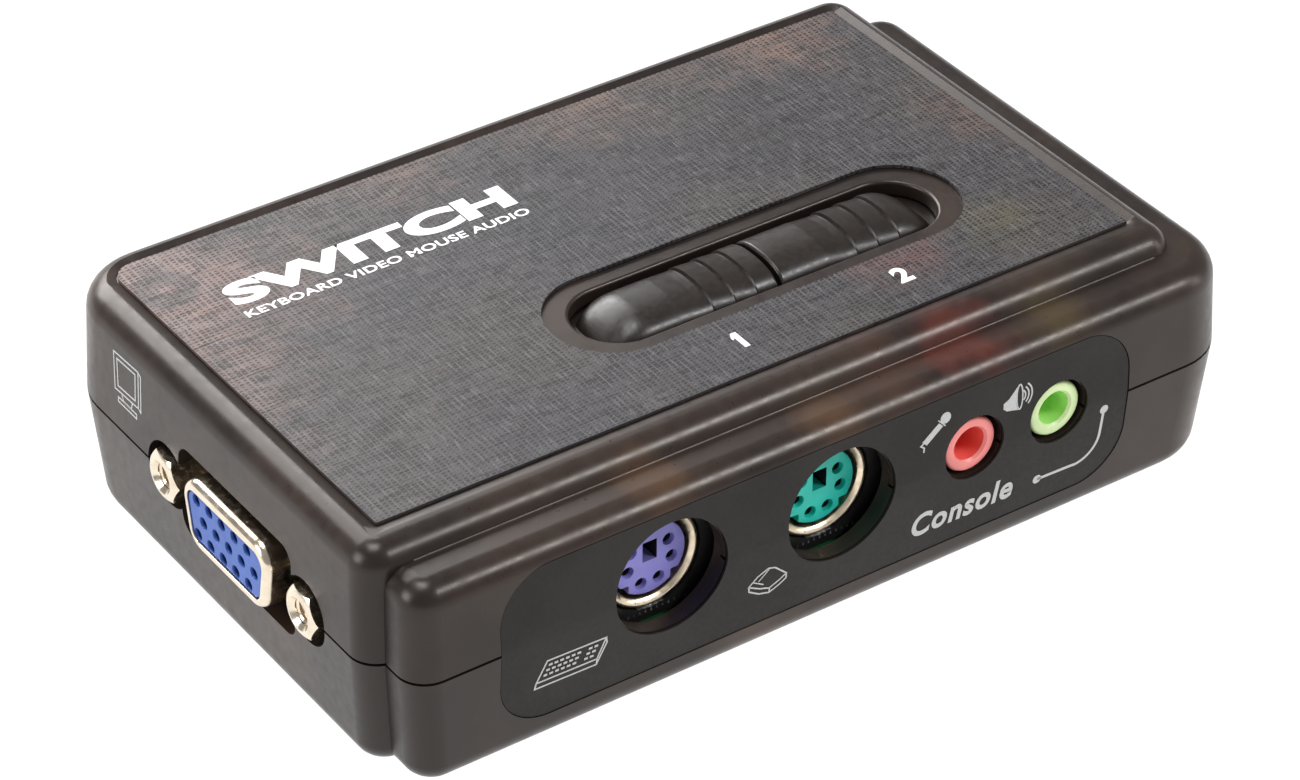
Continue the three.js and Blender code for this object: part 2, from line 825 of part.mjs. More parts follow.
function caseScrew([x, y]) {
  const seat = screwSeat - lowerHeight - fitGap / 2;
  const head = bar(x, y, screwHeadRadius, seat - screwHeadHeight, seat, postSides);
  const shank = bar(x, y, screwRadius, seat - seam, seat + screwLength, postSides);
  const half = screwSlot / 2;
  const arm = screwSlotReach;
  const slotTop = seat - screwHeadHeight / 2;
  const slotLow = seat - 2 * screwHeadHeight;
  const across = boxSolid(x - arm, x + arm, y - half, y + half, slotLow, slotTop);
  const along = boxSolid(x - half, x + half, y - arm, y + arm, slotLow, slotTop);
  return cut(join(head, shank), across, along);
}

function rubberFoot([x, y]) {
  const low = -lowerHeight - footProud;
  const profile = [
    new THREE.Vector2(0, low),
    new THREE.Vector2(footRadius - footRim, low),
    new THREE.Vector2(footRadius, low + footRim),
    new THREE.Vector2(footRadius, footSocket - lowerHeight - fitGap),
    new THREE.Vector2(0, footSocket - lowerHeight - fitGap),
  ];
  const geometry = new THREE.LatheGeometry(profile, postSides);
  geometry.rotateX(Math.PI / 2);
  geometry.translate(x, y, 0);
  return toSolid(geometry);
}

function led() {
  const round = 4;
  const profile = [new THREE.Vector2(0, 0), new THREE.Vector2(ledRadius + ledRim, 0)];
  profile.push(new THREE.Vector2(ledRadius + ledRim, ledRimHeight));
  profile.push(new THREE.Vector2(ledRadius, ledRimHeight));
  for (let i = 0; i < round; i += 1) {
    const angle = (i / round) * (Math.PI / 2);
    const x = ledRadius * Math.cos(angle);
    profile.push(new THREE.Vector2(x, ledHeight - ledRadius + ledRadius * Math.sin(angle)));
  }
  profile.push(new THREE.Vector2(0, ledHeight));
  const geometry = new THREE.LatheGeometry(profile, postSides);
  geometry.rotateX(Math.PI / 2);
  return toSolid(geometry);
}

const component = ([length, depth, height]) =>
  boxSolid(-length / 2, length / 2, -depth / 2, depth / 2, 0, height);

// ---------------------------------------------------------------- materials

function finish(color, roughness, metalness = 0) {
  return new THREE.MeshStandardMaterial({ color, roughness, metalness });
}

const finishes = {
  smokedPlastic: () => finish(0x2c2826, 0.35),
  overlayFilm: () => finish(0x5c5654, 0.5),
  labelFilm: () => finish(0x33302e, 0.55),
  keyPlastic: () => finish(0x26221f, 0.4),
  bluePlastic: () => finish(0x3f66c8, 0.4),
  purplePlastic: () => finish(0x6f68b8, 0.4),
  greenPlastic: () => finish(0x1fa38f, 0.4),
  blackPlastic: () => finish(0x151515, 0.5),
  pinkPlastic: () => finish(0xe98a8c, 0.4),
  limePlastic: () => finish(0xcfe8a0, 0.4),
  nickel: () => finish(0xcfc8bd, 0.25, 1),
  steel: () => finish(0xa8a8aa, 0.35, 1),
  rubber: () => finish(0x202020, 0.9),
  board: () => finish(0x1d5a34, 0.55),
  lamp: () => finish(0x7fe07a, 0.2),
};

// ---------------------------------------------------------------- assembly

const device = new THREE.Group();
const inside = new THREE.Group();
device.add(inside);

function add(name, solid, material, place = { x: 0, y: 0, z: 0, turn: 0 }) {
  const mesh = new THREE.Mesh(toGeometry(solid), material());
  mesh.name = name;
  mesh.position.set(place.x, place.y, place.z);
  mesh.rotation.z = THREE.MathUtils.degToRad(place.turn);
  inside.add(mesh);
}

add('upper_shell', upperShell(), finishes.smokedPlastic);
add('lower_shell', lowerShell(), finishes.smokedPlastic);
add('top_overlay', topOverlay(), finishes.overlayFilm);
add('front_label', frontLabel(), finishes.labelFilm);
add('circuit_board', circuitBoard(), finishes.board);

[leftKey, rightKey].forEach((key, index) => {
  const number = index + 1;
  add(`push_key_${number}`, key.solid, finishes.keyPlastic);
  add(`tact_switch_${number}_body`, tactBody(key.stemX), finishes.blackPlastic);
  add(`tact_switch_${number}_plunger`, tactPlunger(key.stemX), finishes.blackPlastic);
  const lamp = { x: key.stemX, y: keySlot.y - ledOffset, z: seatZ, turn: 0 };
  add(`port_${number}_led`, led(), finishes.lamp, lamp);
});

['monitor_port', 'computer_port_1', 'computer_port_2'].forEach((name, index) => {
  const place = ports[index];
  add(`${name}_shell`, portShell(), finishes.nickel, place);
  add(`${name}_insulator`, portInsulator(), finishes.bluePlastic, place);
  add(`${name}_jackscrew_left`, jackscrew(-1), finishes.nickel, place);
  add(`${name}_jackscrew_right`, jackscrew(1), finishes.nickel, place);
});

['keyboard', 'mouse'].forEach((name, index) => {
  const insertFinish = index === 0 ? finishes.purplePlastic : finishes.greenPlastic;
  add(`${name}_socket_housing`, dinHousing(), finishes.blackPlastic, dinSockets[index]);
  add(`${name}_socket_shield`, dinShield(), finishes.nickel, dinSockets[index]);
  add(`${name}_socket_insert`, dinInsert(), insertFinish, dinSockets[index]);
});

const jackNames = [
  'console_microphone_jack',
  'console_speaker_jack',
  'computer_1_microphone_jack',
  'computer_1_speaker_jack',
  'computer_2_microphone_jack',
  'computer_2_speaker_jack',
];
jackNames.forEach((name, index) => {
  const place = [...frontJacks, ...sideJacks][index];
  const jackFinish = index % 2 === 0 ? finishes.pinkPlastic : finishes.limePlastic;
  add(name, jackBody(), jackFinish, place);
  add(`${name}_contact`, jackContact(), finishes.nickel, place);
});

bosses.forEach((place, index) => {
  add(`case_screw_${index + 1}`, caseScrew(place), finishes.steel);
});
feet.forEach((place, index) => {
  add(`rubber_foot_${index + 1}`, rubberFoot(place), finishes.rubber);
});

const boardMiddle = { x: caseLength / 2, y: caseDepth / 2 };
const atBoard = (x, y) => ({ x, y, z: seatZ, turn: 0 });
const chips = [
  ['controller_chip', chipSize, finishes.blackPlastic, -16, 4],
  ['video_switch_chip', videoChipSize, finishes.blackPlastic, -4, 12],
  ['crystal', crystalSize, finishes.steel, 22, 8],
];
chips.forEach(([name, size, material, x, y]) => {
  add(name, component(size), material, atBoard(boardMiddle.x + x, boardMiddle.y + y));
});
const capacitor = bar(0, 0, capacitorRadius, 0, capacitorHeight, postSides);
add('filter_capacitor', capacitor, finishes.blackPlastic, atBoard(capacitorFromLeft, capacitorFromFront));

// The part stands on its feet, with its origin under the middle of its outer box.
inside.position.set(
  -(caseLength - dProud) / 2,
  -(caseDepth + dProud) / 2,
  lowerHeight + footProud,
);

export default device;
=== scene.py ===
# %% [markdown]
# # A two-port keyboard, video and mouse switch
# The object is a palm-sized box of smoked plastic, made of two mouldings that meet at a thin parting
# line. It carries two push keys on top, a video socket on its left side, and a printed front panel with
# two round sockets and two audio jacks. Everything here is built in one frame, in metres, with the
# resting plane at zero height, so that each visible piece sits exactly where its solid sits.

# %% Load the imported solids
import math
import bmesh
import bpy
from mathutils import Matrix, Vector


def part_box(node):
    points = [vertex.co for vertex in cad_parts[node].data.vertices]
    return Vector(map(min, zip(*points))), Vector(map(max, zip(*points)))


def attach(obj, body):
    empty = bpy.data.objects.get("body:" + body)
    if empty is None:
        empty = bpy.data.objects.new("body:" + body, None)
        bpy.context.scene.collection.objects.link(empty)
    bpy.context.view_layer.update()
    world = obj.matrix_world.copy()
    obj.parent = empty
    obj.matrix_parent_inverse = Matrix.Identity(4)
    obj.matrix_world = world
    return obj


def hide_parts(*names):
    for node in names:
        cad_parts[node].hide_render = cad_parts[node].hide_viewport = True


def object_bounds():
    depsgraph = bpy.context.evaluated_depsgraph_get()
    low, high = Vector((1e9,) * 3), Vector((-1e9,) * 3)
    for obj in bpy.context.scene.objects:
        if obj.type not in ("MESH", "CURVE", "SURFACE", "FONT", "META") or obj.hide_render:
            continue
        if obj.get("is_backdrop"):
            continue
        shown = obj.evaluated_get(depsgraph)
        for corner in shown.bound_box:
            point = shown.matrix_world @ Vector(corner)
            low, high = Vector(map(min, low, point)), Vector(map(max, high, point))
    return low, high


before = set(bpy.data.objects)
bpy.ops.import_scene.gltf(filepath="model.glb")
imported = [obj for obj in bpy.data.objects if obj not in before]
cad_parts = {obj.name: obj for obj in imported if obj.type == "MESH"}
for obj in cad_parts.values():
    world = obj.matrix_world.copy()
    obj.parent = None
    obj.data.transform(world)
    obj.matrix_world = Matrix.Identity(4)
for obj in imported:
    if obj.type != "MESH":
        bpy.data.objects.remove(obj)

solid_low, solid_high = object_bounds()
print("solids span, in mm:", [round(1000 * v, 1) for v in solid_high - solid_low])

# %% [markdown]
# ## Working in millimetres from one corner
# A moulding like this is drawn from one corner, in millimetres, with the parting plane at height zero.
# Two small conversions keep that habit: one value for a millimetre, and one function that turns a place
# measured from the low left front corner into the shared frame. The corner itself is read off the
# lower shell and the middle of the video socket, so nothing has to be fitted by hand.

# %% One corner, one unit
MM = 0.001
shell_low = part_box("lower_shell")[0]
video_low, video_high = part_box("monitor_port_shell")
corner = Vector((shell_low.x, shell_low.y, (video_low.z + video_high.z) / 2))


def from_corner(point):
    return corner + Vector(point) * MM


print("corner of the case, in mm:", [round(1000 * v, 2) for v in corner])

# %% [markdown]
# ## The camera
# The camera comes first, because every finish is judged through it. A long lens from nearly half a
# metre keeps the box's edges close to parallel. The direction is set by three plain angles: how far
# round, how far down, and a slight roll. One matrix product turns them into the camera's rotation.

# %% Set up the camera
camera_data = bpy.data.cameras.new("camera")
camera = bpy.data.objects.new("camera", camera_data)
bpy.context.scene.collection.objects.link(camera)
camera_data.sensor_width = 36
camera_data.lens = 125.8
camera_data.clip_start = 0.01
round_angle, down_angle, roll_angle = math.radians(34.855), math.radians(35.624), math.radians(0.298)
turn = Matrix.Rotation(-round_angle, 4, "Z")
tilt = Matrix.Rotation(math.pi / 2 - down_angle, 4, "X")
roll = Matrix.Rotation(roll_angle, 4, "Z")
camera.matrix_world = Matrix.Translation((-0.20726, -0.29832, 0.27031)) @ turn @ tilt @ roll
bpy.context.scene.camera = camera
print("camera looks along", [round(v, 3) for v in -camera.matrix_world.col[2].xyz])

# %% [markdown]
# ## Shapes from rings
# Most moulded and turned pieces can be described as a stack of closed rings: a box with rounded edges
# is a stack of rounded rectangles, and a turned pin is a stack of circles. Building the mesh from rings
# gives full control over every radius, which a bevelled cube doesn't. One function makes the outline,
# one makes circles, and one skins a stack of rings, with or without end caps. A prism and a turned
# shape are the two commonest stacks, so each has its own short function. Rounded edges all climb the
# same quarter circle, given as pairs of rise and retreat.

# %% Outlines and skins
QUARTER = math.pi / 2


def arc(centre_x, centre_y, radius, start, steps):
    angles = [start + QUARTER * i / steps for i in range(steps + 1)]
    return [(centre_x + radius * math.cos(a), centre_y + radius * math.sin(a)) for a in angles]


def quarter_turn(steps):
    angles = [QUARTER * i / steps for i in range(steps + 1)]
    return [(math.sin(a), math.cos(a)) for a in angles]


def rounded_outline(x0, x1, y0, y1, radii, steps=10):
    front_left, front_right, back_right, back_left = radii
    return (
        arc(x0 + front_left, y0 + front_left, front_left, 2 * QUARTER, steps)
        + arc(x1 - front_right, y0 + front_right, front_right, 3 * QUARTER, steps)
        + arc(x1 - back_right, y1 - back_right, back_right, 0, steps)
        + arc(x0 + back_left, y1 - back_left, back_left, QUARTER, steps)
    )


def plate(half_width, half_height, radius, steps, x=0.0, y=0.0):
    return rounded_outline(x - half_width, x + half_width, y - half_height, y + half_height,
                           [radius] * 4, steps)


def circle(radius, height, steps=48):
    angles = [2 * math.pi * i / steps for i in range(steps)]
    return [(radius * math.cos(a), radius * math.sin(a), height) for a in angles]


def skin(rings, closed=False):
    count = len(rings[0])
    points = [point for ring in rings for point in ring]
    faces = [] if closed else [tuple(reversed(range(count)))]
    for level in range(len(rings) if closed else len(rings) - 1):
        low = level * count
        high = (level + 1) % len(rings) * count
        for i in range(count):
            j = (i + 1) % count
            faces.append((low + i, low + j, high + j, high + i))
    if not closed:
        last = len(points) - count
        faces.append(tuple(range(last, last + count)))
    return points, faces


def prism(outline, heights):
    return skin([[(x, y, z) for x, y in outline] for z in heights])


def turned(profile, x=0.0, y=0.0, steps=40, closed=False):
    return skin([[(px + x, py + y, z) for px, py, z in circle(max(radius, 1e-5), z, steps)]
                 for radius, z in profile], closed)


print("a rounded outline has", len(rounded_outline(0, 4, 0, 4, [1] * 4)), "points")

# %% [markdown]
# ## From points to a piece
# A mesh in Blender is just points and faces handed over with from_pydata. Doubled points at the poles
# of turned shapes are merged, and the faces are turned to point outwards. Shading is smooth, apart
# from edges that really are edges, and a weighted-normal pass keeps big flats flat beside small radii.
# A finished piece gets a material and the body it rides on, and the solids it stands for are hidden.
# Faces deep inside a hole can take a second material, chosen by their place along the hole's own axes.

# %% Make, cut and finish a mesh
def make(name, shape, place=from_corner):
    points, faces = shape
    mesh = bpy.data.meshes.new(name)
    mesh.from_pydata([place(point) for point in points], [], faces)
    work = bmesh.new()
    work.from_mesh(mesh)
    bmesh.ops.remove_doubles(work, verts=work.verts, dist=1e-7)
    bmesh.ops.dissolve_degenerate(work, edges=work.edges, dist=1e-8)
    bmesh.ops.recalc_face_normals(work, faces=work.faces)
    work.to_mesh(mesh)
    work.free()
    piece = bpy.data.objects.new(name, mesh)
    bpy.context.scene.collection.objects.link(piece)
    return piece


def settle(piece):
    shown = piece.evaluated_get(bpy.context.evaluated_depsgraph_get())
    mesh = bpy.data.meshes.new_from_object(shown)
    piece.modifiers.clear()
    piece.data = mesh
    return piece


def combine(piece, tools, operation="DIFFERENCE"):
    for tool in tools:
        step = piece.modifiers.new("combine", "BOOLEAN")
        step.object = tool
        step.operation = operation
        step.solver = "EXACT"
    settle(piece)
    for tool in tools:
        bpy.data.objects.remove(tool)
    return piece


def together(name, parts):
    work = bmesh.new()
    for part in parts:
        work.from_mesh(part.data)
        bpy.data.objects.remove(part)
    mesh = bpy.data.meshes.new(name)
    work.to_mesh(mesh)
    work.free()
    piece = bpy.data.objects.new(name, mesh)
    bpy.context.scene.collection.objects.link(piece)
    return piece


def shade(piece, sharp_degrees=32):
    limit = math.radians(sharp_degrees)
    work = bmesh.new()
    work.from_mesh(piece.data)
    for face in work.faces:
        face.smooth = True
    for edge in work.edges:
        edge.smooth = len(edge.link_faces) == 2 and edge.calc_face_angle(0) < limit
    work.to_mesh(piece.data)
    work.free()
    step = piece.modifiers.new("weighted normals", "WEIGHTED_NORMAL")
    step.keep_sharp = True
    return settle(piece)


def finish_piece(piece, material, slot_name, *nodes, body="case"):
    piece.data.materials.clear()
    piece.data.materials.append(material)
    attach(piece, body)
    if nodes:
        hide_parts(*nodes)
    return piece


def paint_inside(piece, place, material, chosen):
    axis = place((0, 0, 0))
    own_axes = [(place(v) - axis).normalized() for v in ((1, 0, 0), (0, 1, 0), (0, 0, 1))]
    piece.data.materials.append(material)
    for face in piece.data.polygons:
        if chosen(*((face.center - axis).dot(own) / MM for own in own_axes)):
            face.material_index = 1


print("mesh helpers ready")

# %% [markdown]
# ## Node materials
# Every finish here is a Principled shader with noise feeding its colour, roughness and bump, in object
# coordinates, so that the grain has a true size in millimetres whatever the mesh is. A small class
# keeps the recipes readable: it starts a material, adds a noise at a grain size given in millimetres,
# remaps a value between two limits, and measures the distance to a place. Uneven gloss, uneven tone
# and fine grain are needed by nearly every recipe, so each is one call.

# %% Material helpers
class Recipe:
    def __init__(self, name, colour, roughness, metallic=0.0):
        self.material = bpy.data.materials.new(name)
        self.material.use_nodes = True
        self.nodes = self.material.node_tree.nodes
        self.shader = self.nodes["Principled BSDF"]
        self.shader.inputs["Base Color"].default_value = (*colour, 1)
        self.shader.inputs["Roughness"].default_value = roughness
        self.shader.inputs["Metallic"].default_value = metallic
        self.place = self.node("ShaderNodeTexCoord").outputs["Object"]

    def node(self, kind, **settings):
        made = self.nodes.new(kind)
        for key, value in settings.items():
            setattr(made, key, value)
        return made

    def link(self, source, target):
        self.material.node_tree.links.new(source, target)

    def noise(self, grain_mm, detail=2.0, stretch=(1, 1, 1)):
        mapping = self.node("ShaderNodeMapping")
        mapping.inputs["Scale"].default_value = [1 / (grain_mm * MM * s) for s in stretch]
        self.link(self.place, mapping.inputs["Vector"])
        texture = self.node("ShaderNodeTexNoise")
        texture.inputs["Scale"].default_value = 1
        texture.inputs["Detail"].default_value = detail
        self.link(mapping.outputs["Vector"], texture.inputs["Vector"])
        return texture.outputs["Fac"]

    def remap(self, value, low, high, to_low=0.0, to_high=1.0, smooth=False):
        made = self.node("ShaderNodeMapRange")
        if smooth:
            made.interpolation_type = "SMOOTHSTEP"
        limits = {"From Min": low, "From Max": high, "To Min": to_low, "To Max": to_high}
        for key, number in limits.items():
            made.inputs[key].default_value = number
        self.link(value, made.inputs["Value"])
        return made.outputs["Result"]

    def math(self, operation, a, b):
        made = self.node("ShaderNodeMath", operation=operation)
        for socket, value in zip(made.inputs, (a, b)):
            if isinstance(value, (int, float)):
                socket.default_value = value
            else:
                self.link(value, socket)
        return made.outputs["Value"]

    def mix(self, factor, a, b, blend="MIX"):
        made = self.node("ShaderNodeMix", data_type="RGBA", blend_type=blend)
        for key, value in (("Factor", factor), ("A", a), ("B", b)):
            sockets = [s for s in made.inputs if s.name == key and s.enabled]
            if isinstance(value, (int, float)):
                sockets[0].default_value = value
            elif isinstance(value, tuple):
                sockets[0].default_value = (*value, 1)
            else:
                self.link(value, sockets[0])
        return [s for s in made.outputs if s.enabled][0]

    def bump(self, height, depth_mm, strength):
        made = self.node("ShaderNodeBump")
        made.inputs["Strength"].default_value = strength
        made.inputs["Distance"].default_value = depth_mm * MM
        self.link(height, made.inputs["Height"])
        return made.outputs["Normal"]

    def feed(self, key, value):
        self.link(value, self.shader.inputs[key])

    def distance_to(self, place):
        made = self.node("ShaderNodeVectorMath", operation="DISTANCE")
        self.link(self.place, made.inputs[0])
        made.inputs[1].default_value = place
        return made.outputs["Value"]

    def uneven_gloss(self, grain_mm, detail, low, high):
        self.feed("Roughness", self.remap(self.noise(grain_mm, detail), 0.3, 0.7, low, high))

    def uneven_tone(self, colour, grain_mm, low, high):
        shade_by = self.remap(self.noise(grain_mm, 2.0), 0.3, 0.7, low, high)
        self.feed("Base Color", self.mix(1.0, colour, shade_by, blend="MULTIPLY"))

    def grain(self, noise, depth_mm, strength):
        self.feed("Normal", self.bump(noise, depth_mm, strength))


print("material helpers ready")

# %% [markdown]
# ## Smoked plastic
# The case is moulded in smoked styrene. It is nearly black, but light gets a little way in, so that
# whatever is close behind the wall tints it: the nickel sockets warm it, and the pink and green jacks
# leave a faint glow of their colour. Real transmission through a two-millimetre wall needs thousands of
# light paths for a very faint effect. It is painted here into the colour as soft patches of light around
# the parts behind the wall, whose places come straight from the solids, together with lighter painted
# patches on the rear left corner, the lower left side, the lower right front and the front bottom, laid
# over a dark satin base with a fine moulded grain.

# %% Painted light from the parts behind the wall
def middle(node):
    low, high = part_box(node)
    return (low + high) / 2


def above(node, height, back=0.0, across=0.0):
    place = middle(node)
    place.z = corner.z + height * MM
    return place + Vector((across, back, 0)) * MM


def add_painted_light(recipe, colour, painted_patches):
    patchy = recipe.noise(4.0, 2.0)
    for place, tint, reach_mm, strength in painted_patches:
        apart = recipe.distance_to(place if isinstance(place, Vector) else from_corner(place))
        reach = recipe.math("ADD", apart, recipe.math("MULTIPLY", patchy, reach_mm * MM))
        near = recipe.remap(reach, reach_mm * MM * 0.55, reach_mm * MM * 1.35, strength, 0, smooth=True)
        colour = recipe.mix(near, colour, tint)
    return colour


def smoked_plastic():
    recipe = Recipe("smoked_plastic", (0.020, 0.017, 0.015), 0.30)
    cloud = recipe.remap(recipe.noise(16.0, 3.0), 0.35, 0.65, smooth=True)
    colour = recipe.mix(cloud, (0.014, 0.010, 0.009), (0.029, 0.019, 0.015))
    # Painted light: glows over the sockets and jacks behind the wall, and lighter patches on the rear left
    # corner, the lower left side, the lower right front and the front bottom.
    colour = add_painted_light(recipe, colour, [
        (above("keyboard_socket_shield", 9.6, -4), (0.085, 0.044, 0.022), 6, 0.7),
        (above("mouse_socket_shield", 9.6, -4), (0.085, 0.044, 0.022), 6, 0.7),
        (above("mouse_socket_shield", 10, -2, 8), (0.055, 0.026, 0.018), 8, 0.7),
        (above("console_microphone_jack", 10.5, -4, 1), (0.085, 0.020, 0.014), 8, 0.8),
        (above("console_speaker_jack", 10.5, -5, 1), (0.060, 0.042, 0.018), 6, 0.75),
        ((0, 61, 8), (0.16, 0.12, 0.10), 12, 0.5),
        ((0, 20, -6), (0.06, 0.035, 0.025), 8, 0.5),
        ((98, 4, -7), (0.13, 0.07, 0.035), 8, 0.6),
        ((40, 0, -12), (0.09, 0.06, 0.045), 10, 0.5),
    ])
    recipe.feed("Base Color", colour)
    recipe.uneven_gloss(1.2, 3.0, 0.27, 0.37)
    recipe.grain(recipe.noise(0.35), 0.002, 0.6)
    recipe.shader.inputs["Specular IOR Level"].default_value = 0.42
    recipe.shader.inputs["Specular Tint"].default_value = (1.0, 0.93, 0.88, 1)
    return recipe.material


smoked = smoked_plastic()
print("made", smoked.name)

# %% [markdown]
# ## Overlay film, label film and print
# The top carries a grey film embossed like linen: fine threads both ways, with uneven thick ones, and
# tiny dark pits between them. Two cosine waves, a little warped, give the threads, and the places where
# both are low are the pits. Long thin noises add loose threads and raised ridges, and the ridges are also
# painted lighter as a painted highlight. Warm patches of painted light along the edges stand for light
# that leaks in under the film, the jacks below leave a painted glow of their colour, and two darker
# patches and a dark ring over the third screw pillar are painted shade. The front label is a flatter,
# darker film, and the print is a pale matt ink.

# %% Film, label and ink
WARP_PITCH, WEFT_PITCH, BOSS_RADIUS = 0.62, 0.44, 2.3


def overlay_film():
    recipe = Recipe("linen_film", (0.05, 0.046, 0.046), 0.42)
    axes = recipe.node("ShaderNodeSeparateXYZ")
    warped = recipe.node("ShaderNodeVectorMath", operation="ADD")
    recipe.link(recipe.place, warped.inputs[0])
    sway = recipe.math("MULTIPLY", recipe.noise(2.6, 1.0), 0.16 * MM)
    recipe.link(sway, warped.inputs[1])
    recipe.link(warped.outputs["Vector"], axes.inputs["Vector"])
    waves = []
    for axis, pitch in (("X", WARP_PITCH), ("Y", WEFT_PITCH)):
        turns = recipe.math("MULTIPLY", axes.outputs[axis], 2 * math.pi / (pitch * MM))
        waves.append(recipe.math("COSINE", turns, 0))
    threads = recipe.math("MAXIMUM", *waves)
    loose = recipe.math("MULTIPLY", recipe.math("SUBTRACT", recipe.noise(0.8, 2.0, (3, 1, 1)), 0.46), 4.0)
    pits = recipe.remap(recipe.math("ADD", threads, loose), -0.15, 0.55, 1, 0, smooth=True)
    slub = recipe.noise(0.30, 2.0, (16, 1, 1))
    slubs = recipe.remap(slub, 0.36, 0.42, 1, 0, smooth=True)
    ridge = recipe.noise(0.24, 1.0, (1, 9, 1))
    ridges_and_sheen = recipe.remap(ridge, 0.57, 0.66, 0, 1, smooth=True)
    cloud = recipe.remap(recipe.noise(20.0, 2.0), 0.40, 0.60, smooth=True)
    colour = recipe.mix(cloud, (0.043, 0.039, 0.043), (0.054, 0.045, 0.045))
    # Painted light and shade: glows of the jacks' colours, warm light along the edges and near the third
    # screw, and two darker patches of painted shade.
    colour = add_painted_light(recipe, colour, [
        (above("console_microphone_jack", 11, 10, 3), (0.115, 0.048, 0.042), 10, 0.65),
        (above("console_speaker_jack", 11, 9, 5), (0.075, 0.066, 0.034), 8, 0.6),
        (above("case_screw_3", 11, 5, -6), (0.19, 0.122, 0.105), 15, 0.8),
        ((3, 34, 11), (0.15, 0.102, 0.088), 13, 0.75),
        ((8, 50, 11), (0.22, 0.136, 0.118), 21, 0.65),
        ((3, 24, 11), (0.10, 0.072, 0.066), 11, 0.45),
        ((34, 62, 11), (0.17, 0.108, 0.086), 15, 0.75),
        ((58, 62, 11), (0.15, 0.095, 0.075), 17, 0.75),
        ((82, 60, 11), (0.17, 0.100, 0.076), 16, 0.75),
        ((93, 34, 11), (0.12, 0.070, 0.052), 12, 0.6),
        ((70, 42, 11), (0.026, 0.024, 0.026), 9, 0.6),
        ((44, 41, 11), (0.030, 0.030, 0.034), 10, 0.5),
    ])
    # A darker ring of painted shade where the third screw pillar shows through the top.
    boss = recipe.distance_to(above("case_screw_3", 11))
    from_ring = recipe.math("SUBTRACT", boss, BOSS_RADIUS * MM)
    ring = recipe.remap(recipe.math("ABSOLUTE", from_ring, 0), 0.5 * MM, 1.7 * MM, 0.62, 0, smooth=True)
    colour = recipe.mix(ring, colour, (0.026, 0.026, 0.030))
    colour = recipe.mix(recipe.math("MULTIPLY", pits, 0.92), colour, (0.003, 0.003, 0.003))
    colour = recipe.mix(recipe.math("MULTIPLY", slubs, 0.60), colour, (0.008, 0.007, 0.007))
    # The ridges are raised by the bump below and painted lighter here, as a painted highlight.
    colour = recipe.mix(recipe.math("MULTIPLY", ridges_and_sheen, 0.28), colour, (0.15, 0.14, 0.14))
    recipe.feed("Base Color", colour)
    dents = recipe.math("ADD", recipe.math("MULTIPLY", pits, -1.0), recipe.math("MULTIPLY", ridges_and_sheen, 0.5))
    dents = recipe.math("SUBTRACT", dents, slubs)
    recipe.grain(dents, 0.035, 0.6)
    recipe.uneven_gloss(0.8, 2.0, 0.38, 0.5)
    recipe.shader.inputs["Specular IOR Level"].default_value = 0.42
    return recipe.material


def label_film():
    recipe = Recipe("label_film", (0.016, 0.0145, 0.013), 0.5)
    cloud = recipe.remap(recipe.noise(9.0, 2.0), 0.35, 0.65, smooth=True)
    recipe.feed("Base Color", recipe.mix(cloud, (0.0135, 0.0118, 0.0105), (0.0195, 0.0170, 0.0150)))
    recipe.shader.inputs["Specular IOR Level"].default_value = 0.24
    recipe.uneven_gloss(0.5, 2.0, 0.44, 0.56)
    recipe.grain(recipe.noise(0.12, 1.0), 0.003, 0.5)
    return recipe.material


def print_ink(name, colour):
    recipe = Recipe(name, colour, 0.5)
    recipe.uneven_tone(colour, 0.25, 0.90, 1.06)
    return recipe.material


film = overlay_film()
label = label_film()
white_ink = print_ink("white_ink", (0.86, 0.86, 0.88))
grey_ink = print_ink("grey_ink", (0.52, 0.52, 0.52))
print("made", film.name, label.name, white_ink.name, grey_ink.name)

# %% [markdown]
# ## Coloured plastics, metals and rubber
# The sockets follow the usual colour code: blue for video, purple for the keyboard, green for the mouse,
# pink for the microphone and pale green for the speakers. Moulded plastic needs a slight unevenness of
# gloss. Plated steel needs a warm tint, a low roughness that wanders a little, and faint drawing marks.

# %% Plastics and metals
def moulded(name, colour, roughness=0.36, depth=0.05):
    recipe = Recipe(name, colour, roughness)
    recipe.uneven_tone(colour, 2.2, 1 - 2 * depth, 1 + depth)
    recipe.uneven_gloss(0.6, 3.0, roughness - 0.05, roughness + 0.07)
    recipe.grain(recipe.noise(0.14, 2.0), 0.004, 0.5)
    return recipe.material


def plated(name, colour, roughness):
    recipe = Recipe(name, colour, roughness, metallic=1.0)
    recipe.uneven_gloss(0.7, 4.0, roughness * 0.7, roughness * 1.5)
    recipe.uneven_tone(colour, 1.5, 0.9, 1.05)
    recipe.grain(recipe.noise(0.2, 3.0, (1, 1, 4)), 0.006, 0.35)
    return recipe.material


key_plastic = moulded("key_plastic", (0.015, 0.0105, 0.0085), 0.34, 0.12)
blue_plastic = moulded("blue_plastic", (0.038, 0.11, 0.43))
purple_plastic = moulded("purple_plastic", (0.26, 0.24, 0.66))
green_plastic = moulded("green_plastic", (0.010, 0.55, 0.44))
pink_plastic = moulded("pink_plastic", (0.90, 0.27, 0.25))
pink_depth = moulded("pink_depth", (0.97, 0.15, 0.12))
lime_plastic = moulded("lime_plastic", (0.70, 0.86, 0.45))
lime_depth = moulded("lime_depth", (0.52, 0.95, 0.26))
black_plastic = moulded("black_plastic", (0.012, 0.011, 0.011), 0.42)
hole_shade = moulded("hole_shade", (0.010, 0.008, 0.014), 0.5)
